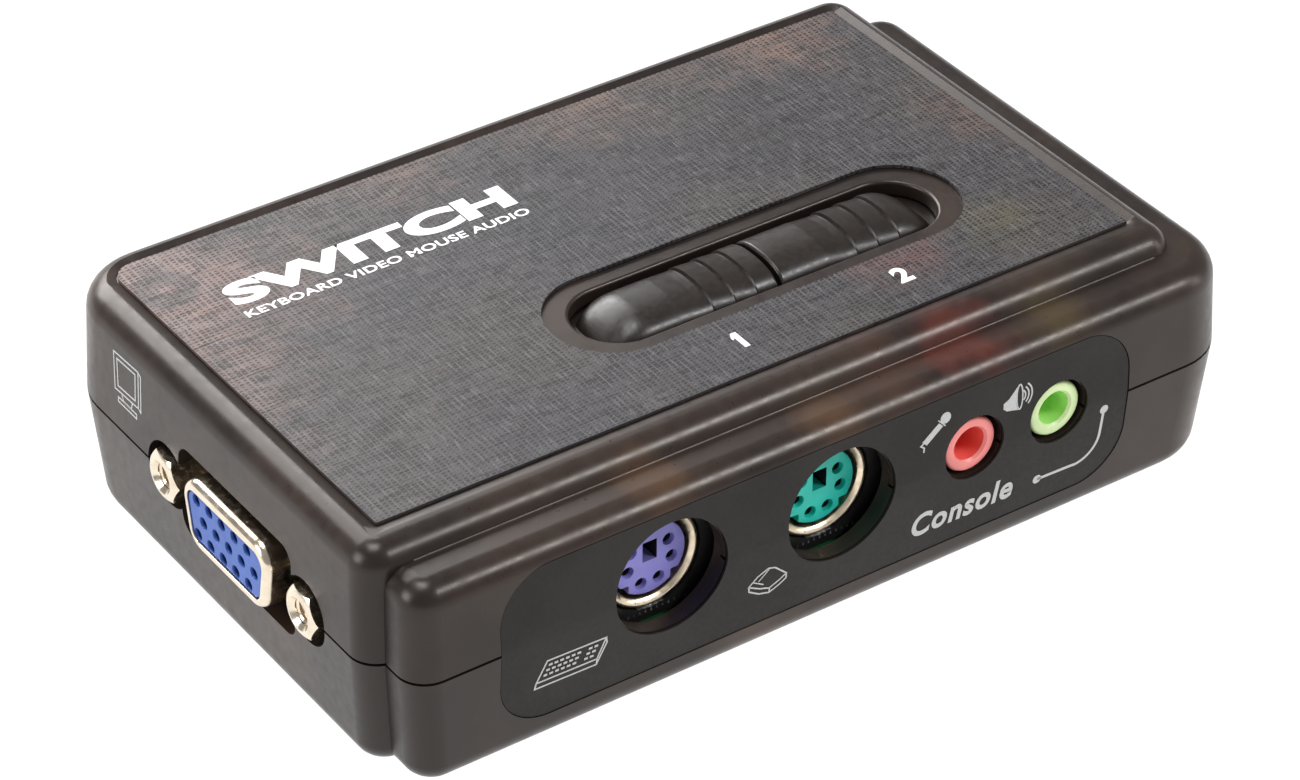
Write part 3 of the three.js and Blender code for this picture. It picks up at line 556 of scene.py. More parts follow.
# Darker blue for the walls deep in the video insulator holes: painted shade.
blue_hole_shade = moulded("blue_hole_shade", (0.012, 0.035, 0.19), 0.3)
nickel = plated("warm_nickel", (0.86, 0.75, 0.60), 0.20)
satin_nickel = plated("satin_nickel", (0.90, 0.77, 0.58), 0.34)
zinc = plated("zinc_plate", (0.60, 0.61, 0.63), 0.32)
rubber = moulded("foot_rubber", (0.018, 0.018, 0.018), 0.85, 0.1)
solder_mask = moulded("solder_mask", (0.01, 0.10, 0.035), 0.30, 0.1)
lamp_lens = moulded("lamp_lens", (0.30, 0.75, 0.28), 0.15)
print("made", len(bpy.data.materials), "materials so far")

# %% [markdown]
# ## The two blocks of the case
# Seen from above, the case is two rounded rectangles, one shifted towards the front right and a little
# lower. Both lean inwards away from the parting plane, so that the mouldings can leave their tool. A
# ring at any height is the outline pulled in by the lean, and the top and bottom edges are quarter
# circles of the same rings. Two stacks joined by a boolean union then give the crease between them.

# %% Block shapes
WALL, EDGE, GAP = 2.0, 2.4, 0.15
UPPER_LEAN, LOWER_LEAN = math.tan(math.radians(2.4)), math.tan(math.radians(4.2))
rear_block = {"x0": 0, "x1": 94, "y0": 4.8, "y1": 61.5, "top": 12, "radii": (3, 3, 3, 7.4)}
front_block = {"x0": 2, "x1": 98, "y0": 0, "y1": 58.1, "top": 10, "radii": (3, 7, 3, 3)}
BASE = -13


def block_ring(block, height, inset):
    pulled = inset + abs(height) * (UPPER_LEAN if height > 0 else LOWER_LEAN)
    radii = [max(radius - inset, 0.4) for radius in block["radii"]]
    x0, x1 = block["x0"] + pulled, block["x1"] - pulled
    y0, y1 = block["y0"] + pulled, block["y1"] - pulled
    return [(x, y, height) for x, y in rounded_outline(x0, x1, y0, y1, radii)]


def half_block(block, inset, start, edge, upward):
    end, sign = (block["top"] - inset, 1) if upward else (BASE + inset, -1)
    rings = [block_ring(block, start, inset)]
    for rise, retreat in quarter_turn(8):
        height = end - sign * edge * (1 - rise)
        rings.append(block_ring(block, height, inset + edge * (1 - retreat)))
    return skin(rings if upward else rings[::-1])


def tongue_ring(block, inset, height):
    radii = [max(radius - inset, 0.6) for radius in block["radii"]]
    outline = rounded_outline(block["x0"] + inset, block["x1"] - inset,
                              block["y0"] + inset, block["y1"] - inset, radii)
    return [(x, y, height) for x, y in outline]


def both_blocks(name, shape_of):
    return [make(name, shape_of(block)) for block in (rear_block, front_block)]


print("rear block", rear_block["x1"], "mm long, front block", front_block["x1"] - front_block["x0"])

# %% [markdown]
# ## Windows for the sockets
# Every socket looks out of a window in the wall. All sockets are drawn the same way, facing out along
# their own depth axis, and one function turns and moves them to their side of the case. The round windows
# are plain discs, and the video windows are a rounded slot with a round hole for each jackscrew.

# %% Places of the sockets
def facing(origin, turn_degrees):
    rotation = Matrix.Rotation(math.radians(turn_degrees), 3, "Z")
    return lambda point: origin + rotation @ Vector((point[0], -point[2], point[1])) * MM


def mouth_of(front_node, turn_degrees, axis_node=None):
    low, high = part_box(front_node)
    centre = middle(axis_node or front_node)
    origin = {
        0: Vector((centre.x, low.y, centre.z)),
        90: Vector((high.x, centre.y, centre.z)),
        180: Vector((centre.x, high.y, centre.z)),
        -90: Vector((low.x, centre.y, centre.z)),
    }[turn_degrees]
    return facing(origin, turn_degrees)


video_ports = {
    name: mouth_of(f"{name}_shell", turn_degrees)
    for name, turn_degrees in (("monitor_port", -90), ("computer_port_1", 180), ("computer_port_2", 180))
}
round_sockets = {name: mouth_of(f"{name}_shield", 0) for name in ("keyboard_socket", "mouse_socket")}
jacks = {}
for owner, turn_degrees in (("console", 0), ("computer_1", 90), ("computer_2", 90)):
    for name in (f"{owner}_microphone_jack", f"{owner}_speaker_jack"):
        jacks[name] = mouth_of(name, turn_degrees, f"{name}_contact")
print(len(video_ports), "video sockets,", len(round_sockets), "round sockets,", len(jacks), "jacks")

# %% Window cutters
JACKSCREW_APART = 25
THROUGH = (-6.5, 4.5)


def disc(radius, low, high, x=0.0, steps=48):
    return turned([(radius, low), (radius, high)], x, steps=steps)


def slot_windows():
    shape = prism(plate(10.2, 5.2, 1.8, 8), THROUGH)
    return together("slot_windows", [make("slot", shape, place) for place in video_ports.values()])


def round_windows(extra=0.0):
    screw_discs = [disc(3.5 + extra, *THROUGH, side * JACKSCREW_APART / 2) for side in (-1, 1)]
    wanted = [(shape, place) for place in video_ports.values() for shape in screw_discs]
    wanted += [(disc(6.1 + extra, *THROUGH, steps=72), place) for place in round_sockets.values()]
    wanted += [(disc(3.4 + extra, *THROUGH), place) for place in jacks.values()]
    return together("round_windows", [make("window", shape, place) for shape, place in wanted])


print("windows run", THROUGH[1] - THROUGH[0], "mm through the wall")

# %% [markdown]
# ## The label's seat
# The front label lies in a shallow pocket, so that its edge can't be caught. The pocket is what lies
# between a rounded prism and the leaning front of the case, pushed in by the pocket's depth. The lean
# changes at the parting plane, and a short curve eases it, so that the label has no visible fold.

# %% Front surface and label pocket
LABEL = {"x0": 11.25, "x1": 83.6, "z0": -9.5, "z1": 8.05, "corner": 5.5}
LABEL_SKIN, LABEL_BACK = 0.07, 0.32
EASE = 1.6


def front_y(height, depth=0.0):
    lean = UPPER_LEAN if height > 0 else LOWER_LEAN
    flat = abs(height) * lean
    if abs(height) < EASE:
        flat += (EASE - abs(height)) ** 2 * (UPPER_LEAN + LOWER_LEAN) / (4 * EASE) * 0.5
    return depth + flat


def label_prism(grow):
    radii = [LABEL["corner"] + grow] * 4
    outline = rounded_outline(
        LABEL["x0"] - grow, LABEL["x1"] + grow, LABEL["z0"] - grow, LABEL["z1"] + grow, radii, 16
    )
    return skin([[(x, y, z) for x, z in outline] for y in (6.0, -6.0)])


def front_slab(depth, back_at):
    heights = [-14 + 0.5 * i for i in range(55)]
    ring = [(front_y(z, depth), z) for z in heights] + [(back_at(z), z) for z in reversed(heights)]
    return skin([[(x, y, z) for y, z in ring] for x in (-5.0, 103.0)])


def label_pocket(depth=0.4, grow=0.09):
    pocket = make("label_pocket", label_prism(grow))
    return combine(pocket, [make("behind", front_slab(depth, lambda z: 20.0))])


print("front leans back", round(front_y(8.0), 2), "mm at the label's top")

# %% [markdown]
# ## The upper moulding
# The upper half is the union of both blocks, hollowed by the same blocks pulled in by the wall. A
# shallow bed with a sloping lip takes the film. The key slot is cut with a stadium whose top flares
# in a quarter circle, which rounds the slot's rim in the same cut. Four screw pillars stand inside.

# %% Build the upper moulding
FILM_BED, FILM_TOP = 11.5, 11.93
FILM = {"x0": 4.4, "x1": 90.4, "y0": 9.65, "y1": 57.95}
SLOT = {"x": 57.0, "y": 25.05, "length": 41.6, "width": 9.4}


def stadium(grow, height, steps=16, longer=0.0):
    half_length, half_width = SLOT["length"] / 2 + grow + longer, SLOT["width"] / 2 + grow
    radius = half_width - 1e-4
    outline = rounded_outline(
        SLOT["x"] - half_length, SLOT["x"] + half_length,
        SLOT["y"] - half_width, SLOT["y"] + half_width, [radius] * 4, steps,
    )
    return [(x, y, height) for x, y in outline]


def film_outline(grow, height, steps=8):
    radii = [max(0.25 + grow, 0.1)] * 3 + [2.2 + grow]
    outline = rounded_outline(
        FILM["x0"] - grow, FILM["x1"] + grow, FILM["y0"] - grow, FILM["y1"] + grow, radii, steps
    )
    return [(x, y, height) for x, y in outline]


def key_slot_cutter():
    rim = 0.35
    rings = [stadium(0, 2.0), stadium(0, FILM_BED - rim)]
    for i in range(1, 7):
        angle = QUARTER * i / 6
        rings.append(stadium(rim * (1 - math.cos(angle)), FILM_BED - rim + rim * math.sin(angle)))
    rings.append(stadium(rim, 16.0))
    return make("key_slot", skin(rings))


def film_bed_cutter():
    rings = [film_outline(0.12, FILM_BED), film_outline(0.16, FILM_BED + 0.12),
             film_outline(1.25, 12.0), film_outline(1.3, 16.0)]
    return make("film_bed", skin(rings))


def axis_of(node):
    return (middle(node) - corner) / MM


screws = [axis_of(f"case_screw_{i}") for i in range(1, 5)]
feet = [axis_of(f"rubber_foot_{i}") for i in range(1, 5)]


def roof_over(place):
    return FILM_BED if place.y > FILM["y0"] else front_block["top"]


def post(place, radius, low, high, steps=32):
    return make("post", turned([(radius, low), (radius, high)], place.x, place.y, steps))


def step_fillet(radius=0.24):
    foot, floor, inside = 5.27, front_block["top"], 0.25
    profile = [(foot + inside, floor - inside), (foot - radius, floor - inside)]
    for i, (rise, retreat) in enumerate(quarter_turn(6)):
        profile.append((foot - radius * (1 - rise) + 0.05 * i / 6, floor + radius * (1 - retreat)))
    profile.append((foot + inside, floor + radius))
    return make("step_fillet", skin([[(x, y, z) for y, z in profile] for x in (5.5, 90.4)]))


def upper_moulding():
    piece, front = both_blocks("upper_moulding", lambda b: half_block(b, 0, GAP, EDGE, True))
    combine(piece, [front, step_fillet()], "UNION")
    combine(piece, both_blocks("hollow", lambda b: half_block(b, WALL, -1.0, 0.6, True)))
    combine(piece, both_blocks("rebate", lambda b: skin([tongue_ring(b, 1.06, z) for z in (-1.0, 1.24)])))
    combine(piece, [post(place, 2.8, -6.0, roof_over(place) - 1) for place in screws], "UNION")
    combine(piece, [post(place, 1.35, -6.5, roof_over(place) - 2.6) for place in screws])
    combine(piece, [film_bed_cutter(), key_slot_cutter()])
    combine(piece, [label_pocket(), slot_windows(), round_windows()])
    return piece


upper = shade(upper_moulding())
print("upper moulding has", len(upper.data.polygons), "faces")

# %% [markdown]
# ## The lower moulding
# The lower half is made the same way, upside down. It carries a thin tongue that reaches up inside the
# upper wall, which keeps light out of the parting line, and four posts for the case screws. Its base
# has round seats for the rubber feet.

# %% Build the lower moulding
def lower_moulding():
    piece, front = both_blocks("lower_moulding", lambda b: half_block(b, 0, -GAP, EDGE, False))
    combine(piece, [front], "UNION")
    combine(piece, both_blocks("tongue", lambda b: skin([tongue_ring(b, 1.1, z) for z in (-2.0, 1.2)])),
            "UNION")
    combine(piece, both_blocks("hollow", lambda b: half_block(b, WALL, 2.0, 0.6, False)))
    combine(piece, [post(place, 3.8, -12.0, -8.2) for place in screws], "UNION")
    combine(piece, [post(place, 1.5, -14.0, -8.0) for place in screws])
    combine(piece, [post(place, 2.7, -14.0, -9.8) for place in screws])
    combine(piece, [post(place, 4.3, -14.0, -12.5) for place in feet])
    combine(piece, [label_pocket(), slot_windows(), round_windows()])
    return piece


lower = shade(lower_moulding())
print("lower moulding has", len(lower.data.polygons), "faces")

# %% Give both mouldings their finish and their body
for piece, node in ((upper, "upper_shell"), (lower, "lower_shell")):
    finish_piece(piece, smoked, "smoked_case", node)
print("both mouldings ride on the case")

# %% [markdown]
# ## The top film
# The film is a thin sheet with a stadium cut out for the bezel of the keys. Its edge is a small
# rounded step, so it catches a line of light and throws a line of shadow into the bed around it.

# %% Build the top film
def top_film():
    edge = 0.08
    rings = [film_outline(0.0, FILM_BED + edge), film_outline(0.0, FILM_TOP - edge),
             film_outline(-0.02, FILM_TOP - 0.02), film_outline(-edge, FILM_TOP)]
    piece = make("top_film", skin(rings))
    opening = make("opening", skin([stadium(2.0, z, longer=0.7) for z in (FILM_BED - 1, FILM_TOP + 1)]))
    return combine(piece, [opening])


finish_piece(shade(top_film(), 50), film, "overlay", "top_overlay")
print("film is", round(FILM["x1"] - FILM["x0"], 1), "by", round(FILM["y1"] - FILM["y0"], 1), "mm")

# %% [markdown]
# ## The front label
# The label follows the eased front surface. It is a slab of that surface cut to the label's outline,
# with a hole for each socket, slightly larger than the window behind it.

# %% Build the front label
def front_label():
    slab = make("front_label_film", front_slab(LABEL_SKIN, lambda z: front_y(z, LABEL_BACK)))
    combine(slab, [make("outline", label_prism(0.0))], "INTERSECT")
    return combine(slab, [round_windows(0.12)])


panel = finish_piece(shade(front_label(), 40), label, "label", "front_label")
print("label has", len(panel.data.polygons), "faces")

# %% [markdown]
# ## The push keys
# Each key is a low arch with steep sides and a domed outer end. Its crest has a smooth stretch, a
# shallow dip and then three overlapping steps that stop a fingertip. The steps only run over the crest,
# so the key is skinned from arches instead of being turned: at each place along its length, one arch of
# the right height and width. A squashed ellipse gives the flat top and the quick turn at the shoulders.

# %% Key profile and arches
KEY_TOP, KEY_HALF, KEY_BEND, KEY_LOW = FILM_TOP + 0.45, 4.2, 2.5, 9.0
KEY_DOME, FLAT_TOP, STEP_PITCH, SPLIT_ROUND = 5.0, 2.4, 2.55, 0.26
key_boxes = {n: [(v - corner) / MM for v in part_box(f"push_key_{n}")] for n in (1, 2)}
SPLIT = (key_boxes[1][1].x, key_boxes[2][0].x)
OUTER = (SLOT["x"] - SLOT["length"] / 2 + 1, SLOT["x"] + SLOT["length"] / 2 - 1)


def grip(first_step, smooth, end):
    points = [(first_step - 3.4, smooth), (first_step - 1.15, -0.34), (first_step - 0.12, -0.36),
              (first_step, 0.0)]
    for i in (1, 2):
        step = first_step + STEP_PITCH * i
        points += [(step - 1.2, -0.16), (step - 0.12, -0.30), (step, 0.02)]
    return points + [(step + 1.2, -0.02), (end, -0.04)]


def height_at(x, points):
    if x <= points[0][0]:
        return points[0][1]
    for (x0, h0), (x1, h1) in zip(points, points[1:]):
        if x <= x1:
            return h0 + (h1 - h0) * (x - x0) / (x1 - x0)
    return points[-1][1]


def arch(x, scale, lift, steps=32):
    half = KEY_HALF * (0.35 + 0.65 * scale)
    rise = (KEY_BEND + lift) * scale
    base = KEY_TOP - KEY_BEND
    ring = []
    for i in range(steps + 1):
        angle = math.pi * i / steps
        c, q = math.cos(angle), math.sin(angle)
        across = math.copysign(abs(c) ** (2 / FLAT_TOP), c)
        up = abs(q) ** (2 / FLAT_TOP)
        above_low = (base + rise * up - KEY_LOW) * max(scale, 0.05)
        ring.append((x, SLOT["y"] + half * across, KEY_LOW + above_low))
    return ring + [(x, SLOT["y"] - half, KEY_LOW - 0.2), (x, SLOT["y"] + half, KEY_LOW - 0.2)]


def key_shape(x0, x1, points, dome_left):
    places = {x0 + (x1 - x0) * i / 70 for i in range(71)} | {x for x, _ in points if x0 < x < x1}
    dome = [KEY_DOME * (1 - math.cos(QUARTER * i / 14)) for i in range(15)]
    places |= {x0 + d if dome_left else x1 - d for d in dome}
    split = x1 if dome_left else x0
    places |= {split + (-d if dome_left else d) for d in (0.06, 0.14, SPLIT_ROUND)}
    rings = []
    for x in sorted(places):
        along = min((x - x0 if dome_left else x1 - x) / KEY_DOME, 1)
        scale = math.sqrt(max(1 - (1 - along) ** 2, 0))
        near_split = max(1 - abs(x - split) / SPLIT_ROUND, 0)
        rings.append(arch(x, scale, height_at(x, points) - SPLIT_ROUND * near_split ** 2))
    return skin(rings)


print("keys stand", round(KEY_TOP - FILM_TOP, 2), "mm above the film")

# %% Build the keys
def push_key(number):
    dome_left = number == 1
    low, high = key_boxes[number]
    if dome_left:
        x0, x1, points = OUTER[0], SPLIT[0], grip(49.35, -0.18, 56.5)
    else:
        x0, x1, points = SPLIT[1], OUTER[1], grip(66.4, 0.0, 74.0)
    cap = make(f"push_key_cap_{number}", key_shape(x0, x1, points, dome_left))
    radii = [5.2, 0.3, 0.3, 5.2] if dome_left else [0.3, 5.2, 5.2, 0.3]
    outline = rounded_outline(low.x, high.x, low.y, high.y, radii, 12)
    flange = make("flange", prism(outline, (8.5, 9.7)))
    stem = make("stem", turned([(2.2, 3.5), (2.2, 8.6)], (x0 + x1) / 2, SLOT["y"], 32))
    return combine(cap, [flange, stem], "UNION")


for number in (1, 2):
    key = shade(push_key(number), 24)
    finish_piece(key, key_plastic, "key", f"push_key_{number}", body=f"key_{number}")
    print(key.name, "has", len(key.data.polygons), "faces")

# %% [markdown]
# ## Video sockets
# A 15-hole video socket is a drawn steel shell around a blue insulator. The shell's rim is rolled, so it
# is skinned as a closed loop of D outlines: up the outside, round the rim, down the inside. The holes
# are cut in three staggered rows, each with a small gilt contact a little way down.

# %% D outline and socket parts
D_HALF_WIDTH, D_HALF_HEIGHT, D_LEAN, D_CORNER = 8.15, 3.95, math.tan(math.radians(10)), 2.5
HOLE_PITCH, ROW_PITCH = 2.29, 1.98


def d_outline(grow, depth, steps=12):
    half_top, half_height = D_HALF_WIDTH + grow, D_HALF_HEIGHT + grow
    half_low = half_top - 2 * half_height * D_LEAN
    radius = D_CORNER + grow
    corners = [Vector((-half_low, -half_height)), Vector((half_low, -half_height)),
               Vector((half_top, half_height)), Vector((-half_top, half_height))]
    ring = []
    for i, point in enumerate(corners):
        back = (corners[i - 1] - point).normalized()
        ahead = (corners[(i + 1) % 4] - point).normalized()
        inner = math.acos(back.dot(ahead)) / 2
        centre = point + (back + ahead).normalized() * radius / math.sin(inner)
        start = math.atan2(*(point + back * radius / math.tan(inner) - centre).yx)
        sweep = math.pi - 2 * inner
        for step in range(steps + 1):
            angle = start + sweep * step / steps
            around = Vector((math.cos(angle), math.sin(angle)))
            ring.append((*(centre + around * radius), depth))
    return ring


def video_shell(name, place):
    lip, inner, reach = 0.85, 1.12, 5.9
    rings = [d_outline(grow, rise - reach) for grow, rise in ((0.75, -0.05), (0.25, 0.12), (0.0, 0.6))]
    rings += [d_outline(lip * (retreat - 1), lip * (rise - 1)) for rise, retreat in quarter_turn(8)]
    rings += [d_outline(-inner + 0.04, -0.03), d_outline(-inner, -0.12)]
    rings += [d_outline(grow, -reach - 0.7) for grow in (-inner, 0.75)]
    collar = make(f"{name}_metal", skin(rings, closed=True), place)
    flange = make("flange", prism(plate(15.4, 6.25, 1.6, 8), (-6.7, -6.35, -5.95)), place)
    hole = make("hole", skin([d_outline(-inner, z) for z in (-9.0, -4.0)]), place)
    combine(flange, [hole])
    return combine(collar, [flange], "UNION")


HOLE_PLACES = [
    (-HOLE_PITCH * (column + (-0.25 if row == 0 else 0.25)), row * ROW_PITCH)
    for row in (-1, 0, 1)
    for column in range(-2, 3)
]


def video_insulator(name, place):
    rings = [(-1.2, -9.0), (-1.2, -0.36), (-1.27, -0.2), (-1.45, -0.14)]
    tower = make(f"{name}_block", skin([d_outline(*ring) for ring in rings]), place)
    combine(tower, [make("back", prism(plate(14.8, 5.4, 0.5, 4), (-14.5, -7.0)), place)], "UNION")
    profile = [(0.56, -4.4), (0.56, -0.40), (0.68, -0.13), (0.70, 0.5)]
    holes = [make("hole", turned(profile, x, y, 24), place) for x, y in HOLE_PLACES]
    return combine(tower, [together("holes", holes)])


def contacts(name, place, spots, radius, depth):
    profile = [(radius, depth - 2.5), (radius, depth - 0.1), (radius - 0.08, depth),
               (radius * 0.55, depth), (radius * 0.45, depth - 2.5)]
    return together(name, [make("contact", turned(profile, x, y, 16, True), place) for x, y in spots])


print(len(HOLE_PLACES), "holes in each video socket")

# %% [markdown]
# ## Jackscrews
# Beside each video socket stand two hex jackscrews. The hexagon's front corners are turned off, which
# gives the round bright face, and the bore is threaded. The hexagon is cut by a turned envelope, and
# the bore by a turned cutter with a saw-tooth profile, which reads as a thread.

# %% Build a jackscrew
def jackscrew(name, place, side):
    x = side * JACKSCREW_APART / 2
    low, high, across, pitch = -5.6, -0.4, 2.77, 0.34
    hexagon = make(name, disc(across, low, high, x, 6), place)
    envelope = turned([(0, low - 0.5), (across + 0.3, low - 0.5), (across + 0.3, high - 0.75),
                       (across - 0.15, high - 0.35), (across - 0.62, high - 0.06), (across - 0.85, high),
                       (0, high)], x)
    combine(hexagon, [make("envelope", envelope, place)], "INTERSECT")
    thread = [(0, high - 3.9)]
    for i in range(10):
        depth = high - 3.9 + pitch * i
        thread += [(1.12, depth + 0.05), (1.34, depth + 0.2)]
    thread += [(1.3, high - 0.45), (1.75, high + 0.02), (1.8, high + 1.0), (0, high + 1.0)]
    return combine(hexagon, [make("thread", turned(thread, x), place)])


print("a jackscrew is 4.8 mm across its flats")

# %% Place the three video sockets
def inside_hole(x, y, places, radius):
    return any(math.hypot(x - hx, y - hy) < radius for hx, hy in places)


for name, place in video_ports.items():
    finish_piece(shade(video_shell(name, place), 40), nickel, "nickel", f"{name}_shell")
    block = finish_piece(shade(video_insulator(name, place), 40), blue_plastic, "blue_plastic",
                         f"{name}_insulator")
    # The walls deep in the holes take the darker blue, as painted shade.
    paint_inside(block, place, blue_hole_shade,
                 lambda x, y, z: z < -0.42 and inside_hole(x, y, HOLE_PLACES, 0.66))
    pins = contacts(f"{name}_contacts", place, HOLE_PLACES, 0.40, -1.5)
    finish_piece(shade(pins, 40), nickel, "nickel")
    for side, word in ((-1, "left"), (1, "right")):
        screw = shade(jackscrew(f"{name}_{word}_screw", place, side), 30)
        finish_piece(screw, nickel, "nickel", f"{name}_jackscrew_{word}")
print("three video sockets placed")

# %% [markdown]
# ## Round keyboard and mouse sockets
# Each round socket is a nickel tube around a coloured insert with six pin holes, a rectangular keyway
# and two notches in its rim. Below the tube a ridged strip of plated metal shows in the window, where the
# shell is crimped to the housing.

# %% Build the round sockets
PIN_PLACES = [(side * x, y) for x, y in ((2.1, 1.3), (2.45, -0.75), (1.0, -2.6)) for side in (-1, 1)]


def socket_shield(name, place):
    outer, inner, rim = 5.3, 4.42, 0.35
    profile = [(outer, -7.0), (outer, -rim)]
    profile += [(outer - rim * (1 - retreat), -rim * (1 - rise)) for rise, retreat in quarter_turn(5)[1:]]
    profile += [(inner + 0.42, -0.03), (inner + 0.06, -0.34), (inner, -0.46), (inner, -6.4),
                (0.6, -6.4), (0.6, -7.0)]
    return make(f"{name}_tube", turned(profile, steps=72, closed=True), place)


def socket_insert(name, place):
    profile = [(0, -6.1), (4.0, -6.1), (4.0, -0.45), (3.93, -0.33), (3.82, -0.3), (0, -0.3)]
    drum = make(f"{name}_face", turned(profile, steps=72), place)
    deep, out = -4.3, 0.5
    hole = [(0, deep), (0.5, deep), (0.5, -0.75), (0.68, -0.28), (0.7, out), (0, out)]
    cutters = [make("pin", turned(hole, x, y, 24), place) for x, y in PIN_PLACES]
    flats = [plate(0.8, 1.1, 0.08, 3, 0, 0.85)]
    flats += [plate(0.72, 0.75, 0.15, 3, side * 3.05, -3.0) for side in (-1, 1)]
    cutters += [make("flat_cut", prism(flat, (deep, out)), place) for flat in flats]
    return combine(drum, [together("cutters", cutters)])


def ridged_strip(name, place):
    count, length = 26, 8.4
    top, ridge, deep = -5.34, 0.16, -1.9
    points, faces = [], []
    for i in range(count + 1):
        x = -length / 2 + length * i / count
        lift = ridge if i % 2 else 0.0
        points += [(x, top + lift * 0.3, -0.2 + lift), (x, top - 0.55, -0.1 + lift), (x, top - 0.55, deep),
                   (x, top + lift * 0.3, deep)]
    for i in range(count):
        a, b = 4 * i, 4 * (i + 1)
        for j in range(4):
            k = (j + 1) % 4
            faces.append((a + j, a + k, b + k, b + j))
    faces += [(3, 2, 1, 0), tuple(4 * count + j for j in range(4))]
    return make(f"{name}_crimp", (points, faces), place)


def insert_depths(x, y, z):
    in_a_hole = inside_hole(x, y, PIN_PLACES, 0.6) or inside_hole(x, y, [(0, 0.85)], 1.4)
    return z < -0.62 and in_a_hole or z < -0.42 and math.hypot(x, y) > 3.97


socket_colours = {"keyboard_socket": (purple_plastic, "purple_plastic"),
                  "mouse_socket": (green_plastic, "green_plastic")}
for name, place in round_sockets.items():
    colour, slot_name = socket_colours[name]
    finish_piece(shade(socket_shield(name, place), 40), satin_nickel, "nickel", f"{name}_shield")
    drum = finish_piece(shade(socket_insert(name, place), 40), colour, slot_name, f"{name}_insert")
    paint_inside(drum, place, hole_shade, insert_depths)
    pins = contacts(f"{name}_contacts", place, PIN_PLACES, 0.42, -1.3)
    finish_piece(shade(pins, 40), nickel, "nickel")
    finish_piece(shade(ridged_strip(name, place), 30), zinc, "steel")
print("two round sockets placed")

# %% [markdown]
# ## Audio jacks
# An audio jack is a small coloured moulding: a barrel that looks out of the window and a box behind it
# on the board. The bore shows a deeper colour than the face, because light bounces between its walls,
# so its faces get their own material.

# %% Build the audio jacks
def audio_jack(name, place):
    barrel = turned([(0, -5.0), (3.0, -5.0), (3.0, -0.28), (2.9, -0.08), (2.72, 0.0), (2.1, 0.0),
                     (0, 0.0)], steps=64)
    piece = make(f"{name}_moulding", barrel, place)
    low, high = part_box(name)
    axis = middle(f"{name}_contact")
    half_height = (high.z - low.z) / 2 / MM
    lift = ((high.z + low.z) / 2 - axis.z) / MM
    outline = plate(4.0, half_height, 0.3, 4, 0, lift)
    combine(piece, [make("box", prism(outline, (-15.0, -4.0)), place)], "UNION")
    bore = turned([(0, -14.0), (1.8, -14.0), (1.8, -10.5), (2.7, -10.5), (2.7, -5.5), (1.8, -5.5),
                   (1.8, -0.25), (2.05, 0.02), (2.1, 1.0), (0, 1.0)], steps=48)
    return combine(piece, [make("bore", bore, place)])


jack_colours = {"microphone": (pink_plastic, pink_depth, "pink_plastic"),
                "speaker": (lime_plastic, lime_depth, "lime_plastic")}
for name, place in jacks.items():
    face, depths, slot_name = jack_colours[name.split("_")[-2]]
    piece = finish_piece(shade(audio_jack(name, place), 40), face, slot_name, name)
    paint_inside(piece, place, depths, lambda x, y, z: z < -0.1 and math.hypot(x, y) < 2.0)
print("six audio jacks placed")

# %% [markdown]
# ## Screws and feet
# Four rubber feet and four self-tapping screws close the underside. Both are turned shapes, and the
# screws get a cross recess cut with two tapered bars.

# %% Build screws and feet
def on_axis_of(node):
    axis = axis_of(node)
    return lambda point: from_corner((point[0] + axis.x, point[1] + axis.y, point[2]))


def recess_arm(angle):
    turn_arm = Matrix.Rotation(angle, 2)
    rings = []
    for reach, z in ((1.5, -12.0), (0.9, -10.6)):
        ends = [(-reach, -0.38), (reach, -0.38), (reach, 0.38), (-reach, 0.38)]
        rings.append([(*(turn_arm @ Vector(end)), z) for end in ends])
    return skin(rings)


foot_profile = [(0, -14.2), (3.5, -14.2), (3.85, -14.08), (4.0, -13.8), (4.0, -12.8), (0, -12.8)]
screw_profile = [(0, -11.55), (1.6, -11.5), (2.2, -11.1), (2.4, -10.5), (2.4, -9.95), (1.2, -9.95),
                 (1.2, 1.6), (0.3, 2.05), (0, 2.05)]
for i in range(1, 5):
    foot = make(f"foot_pad_{i}", turned(foot_profile, steps=48), on_axis_of(f"rubber_foot_{i}"))
    finish_piece(shade(foot, 40), rubber, "rubber", f"rubber_foot_{i}")
    place = on_axis_of(f"case_screw_{i}")
    screw = make(f"screw_{i}", turned(screw_profile, steps=32), place)
    for angle in (0, QUARTER):
        combine(screw, [make("arm", recess_arm(angle), place)])
    finish_piece(shade(screw, 35), zinc, "steel", f"case_screw_{i}")
print("four screws and four feet placed")

# %% [markdown]
# ## Parts that stay as solids
# The board, the switches, the lamps and the chips are hidden inside, so their solids stay and only get
# a finish of their own.

# %% Finish the hidden solids
finishes = {
    "circuit_board": solder_mask, "controller_chip": black_plastic, "video_switch_chip": black_plastic,
    "crystal": zinc, "filter_capacitor": black_plastic,
    "keyboard_socket_housing": black_plastic, "mouse_socket_housing": black_plastic,
}
for number in (1, 2):
    finishes[f"tact_switch_{number}_body"] = black_plastic
    finishes[f"tact_switch_{number}_plunger"] = key_plastic
    finishes[f"port_{number}_led"] = lamp_lens
for name in jacks:
    finishes[f"{name}_contact"] = nickel
for node, material in finishes.items():
    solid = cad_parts[node]
    if not solid.material_slots:
        solid.data.materials.append(material)
    for held in solid.material_slots:
        held.material = material
print(len(finishes), "solids keep their shape")

# %% [markdown]
# ## Print
# The print is a skin of ink a few hundredths of a millimetre thick. Lines are drawn as ribbons of an
# even width, and words come from a text curve turned into a mesh. A surface function lays each flat
# drawing on the film, on the leaning front or on the left side. The words are plain descriptions.

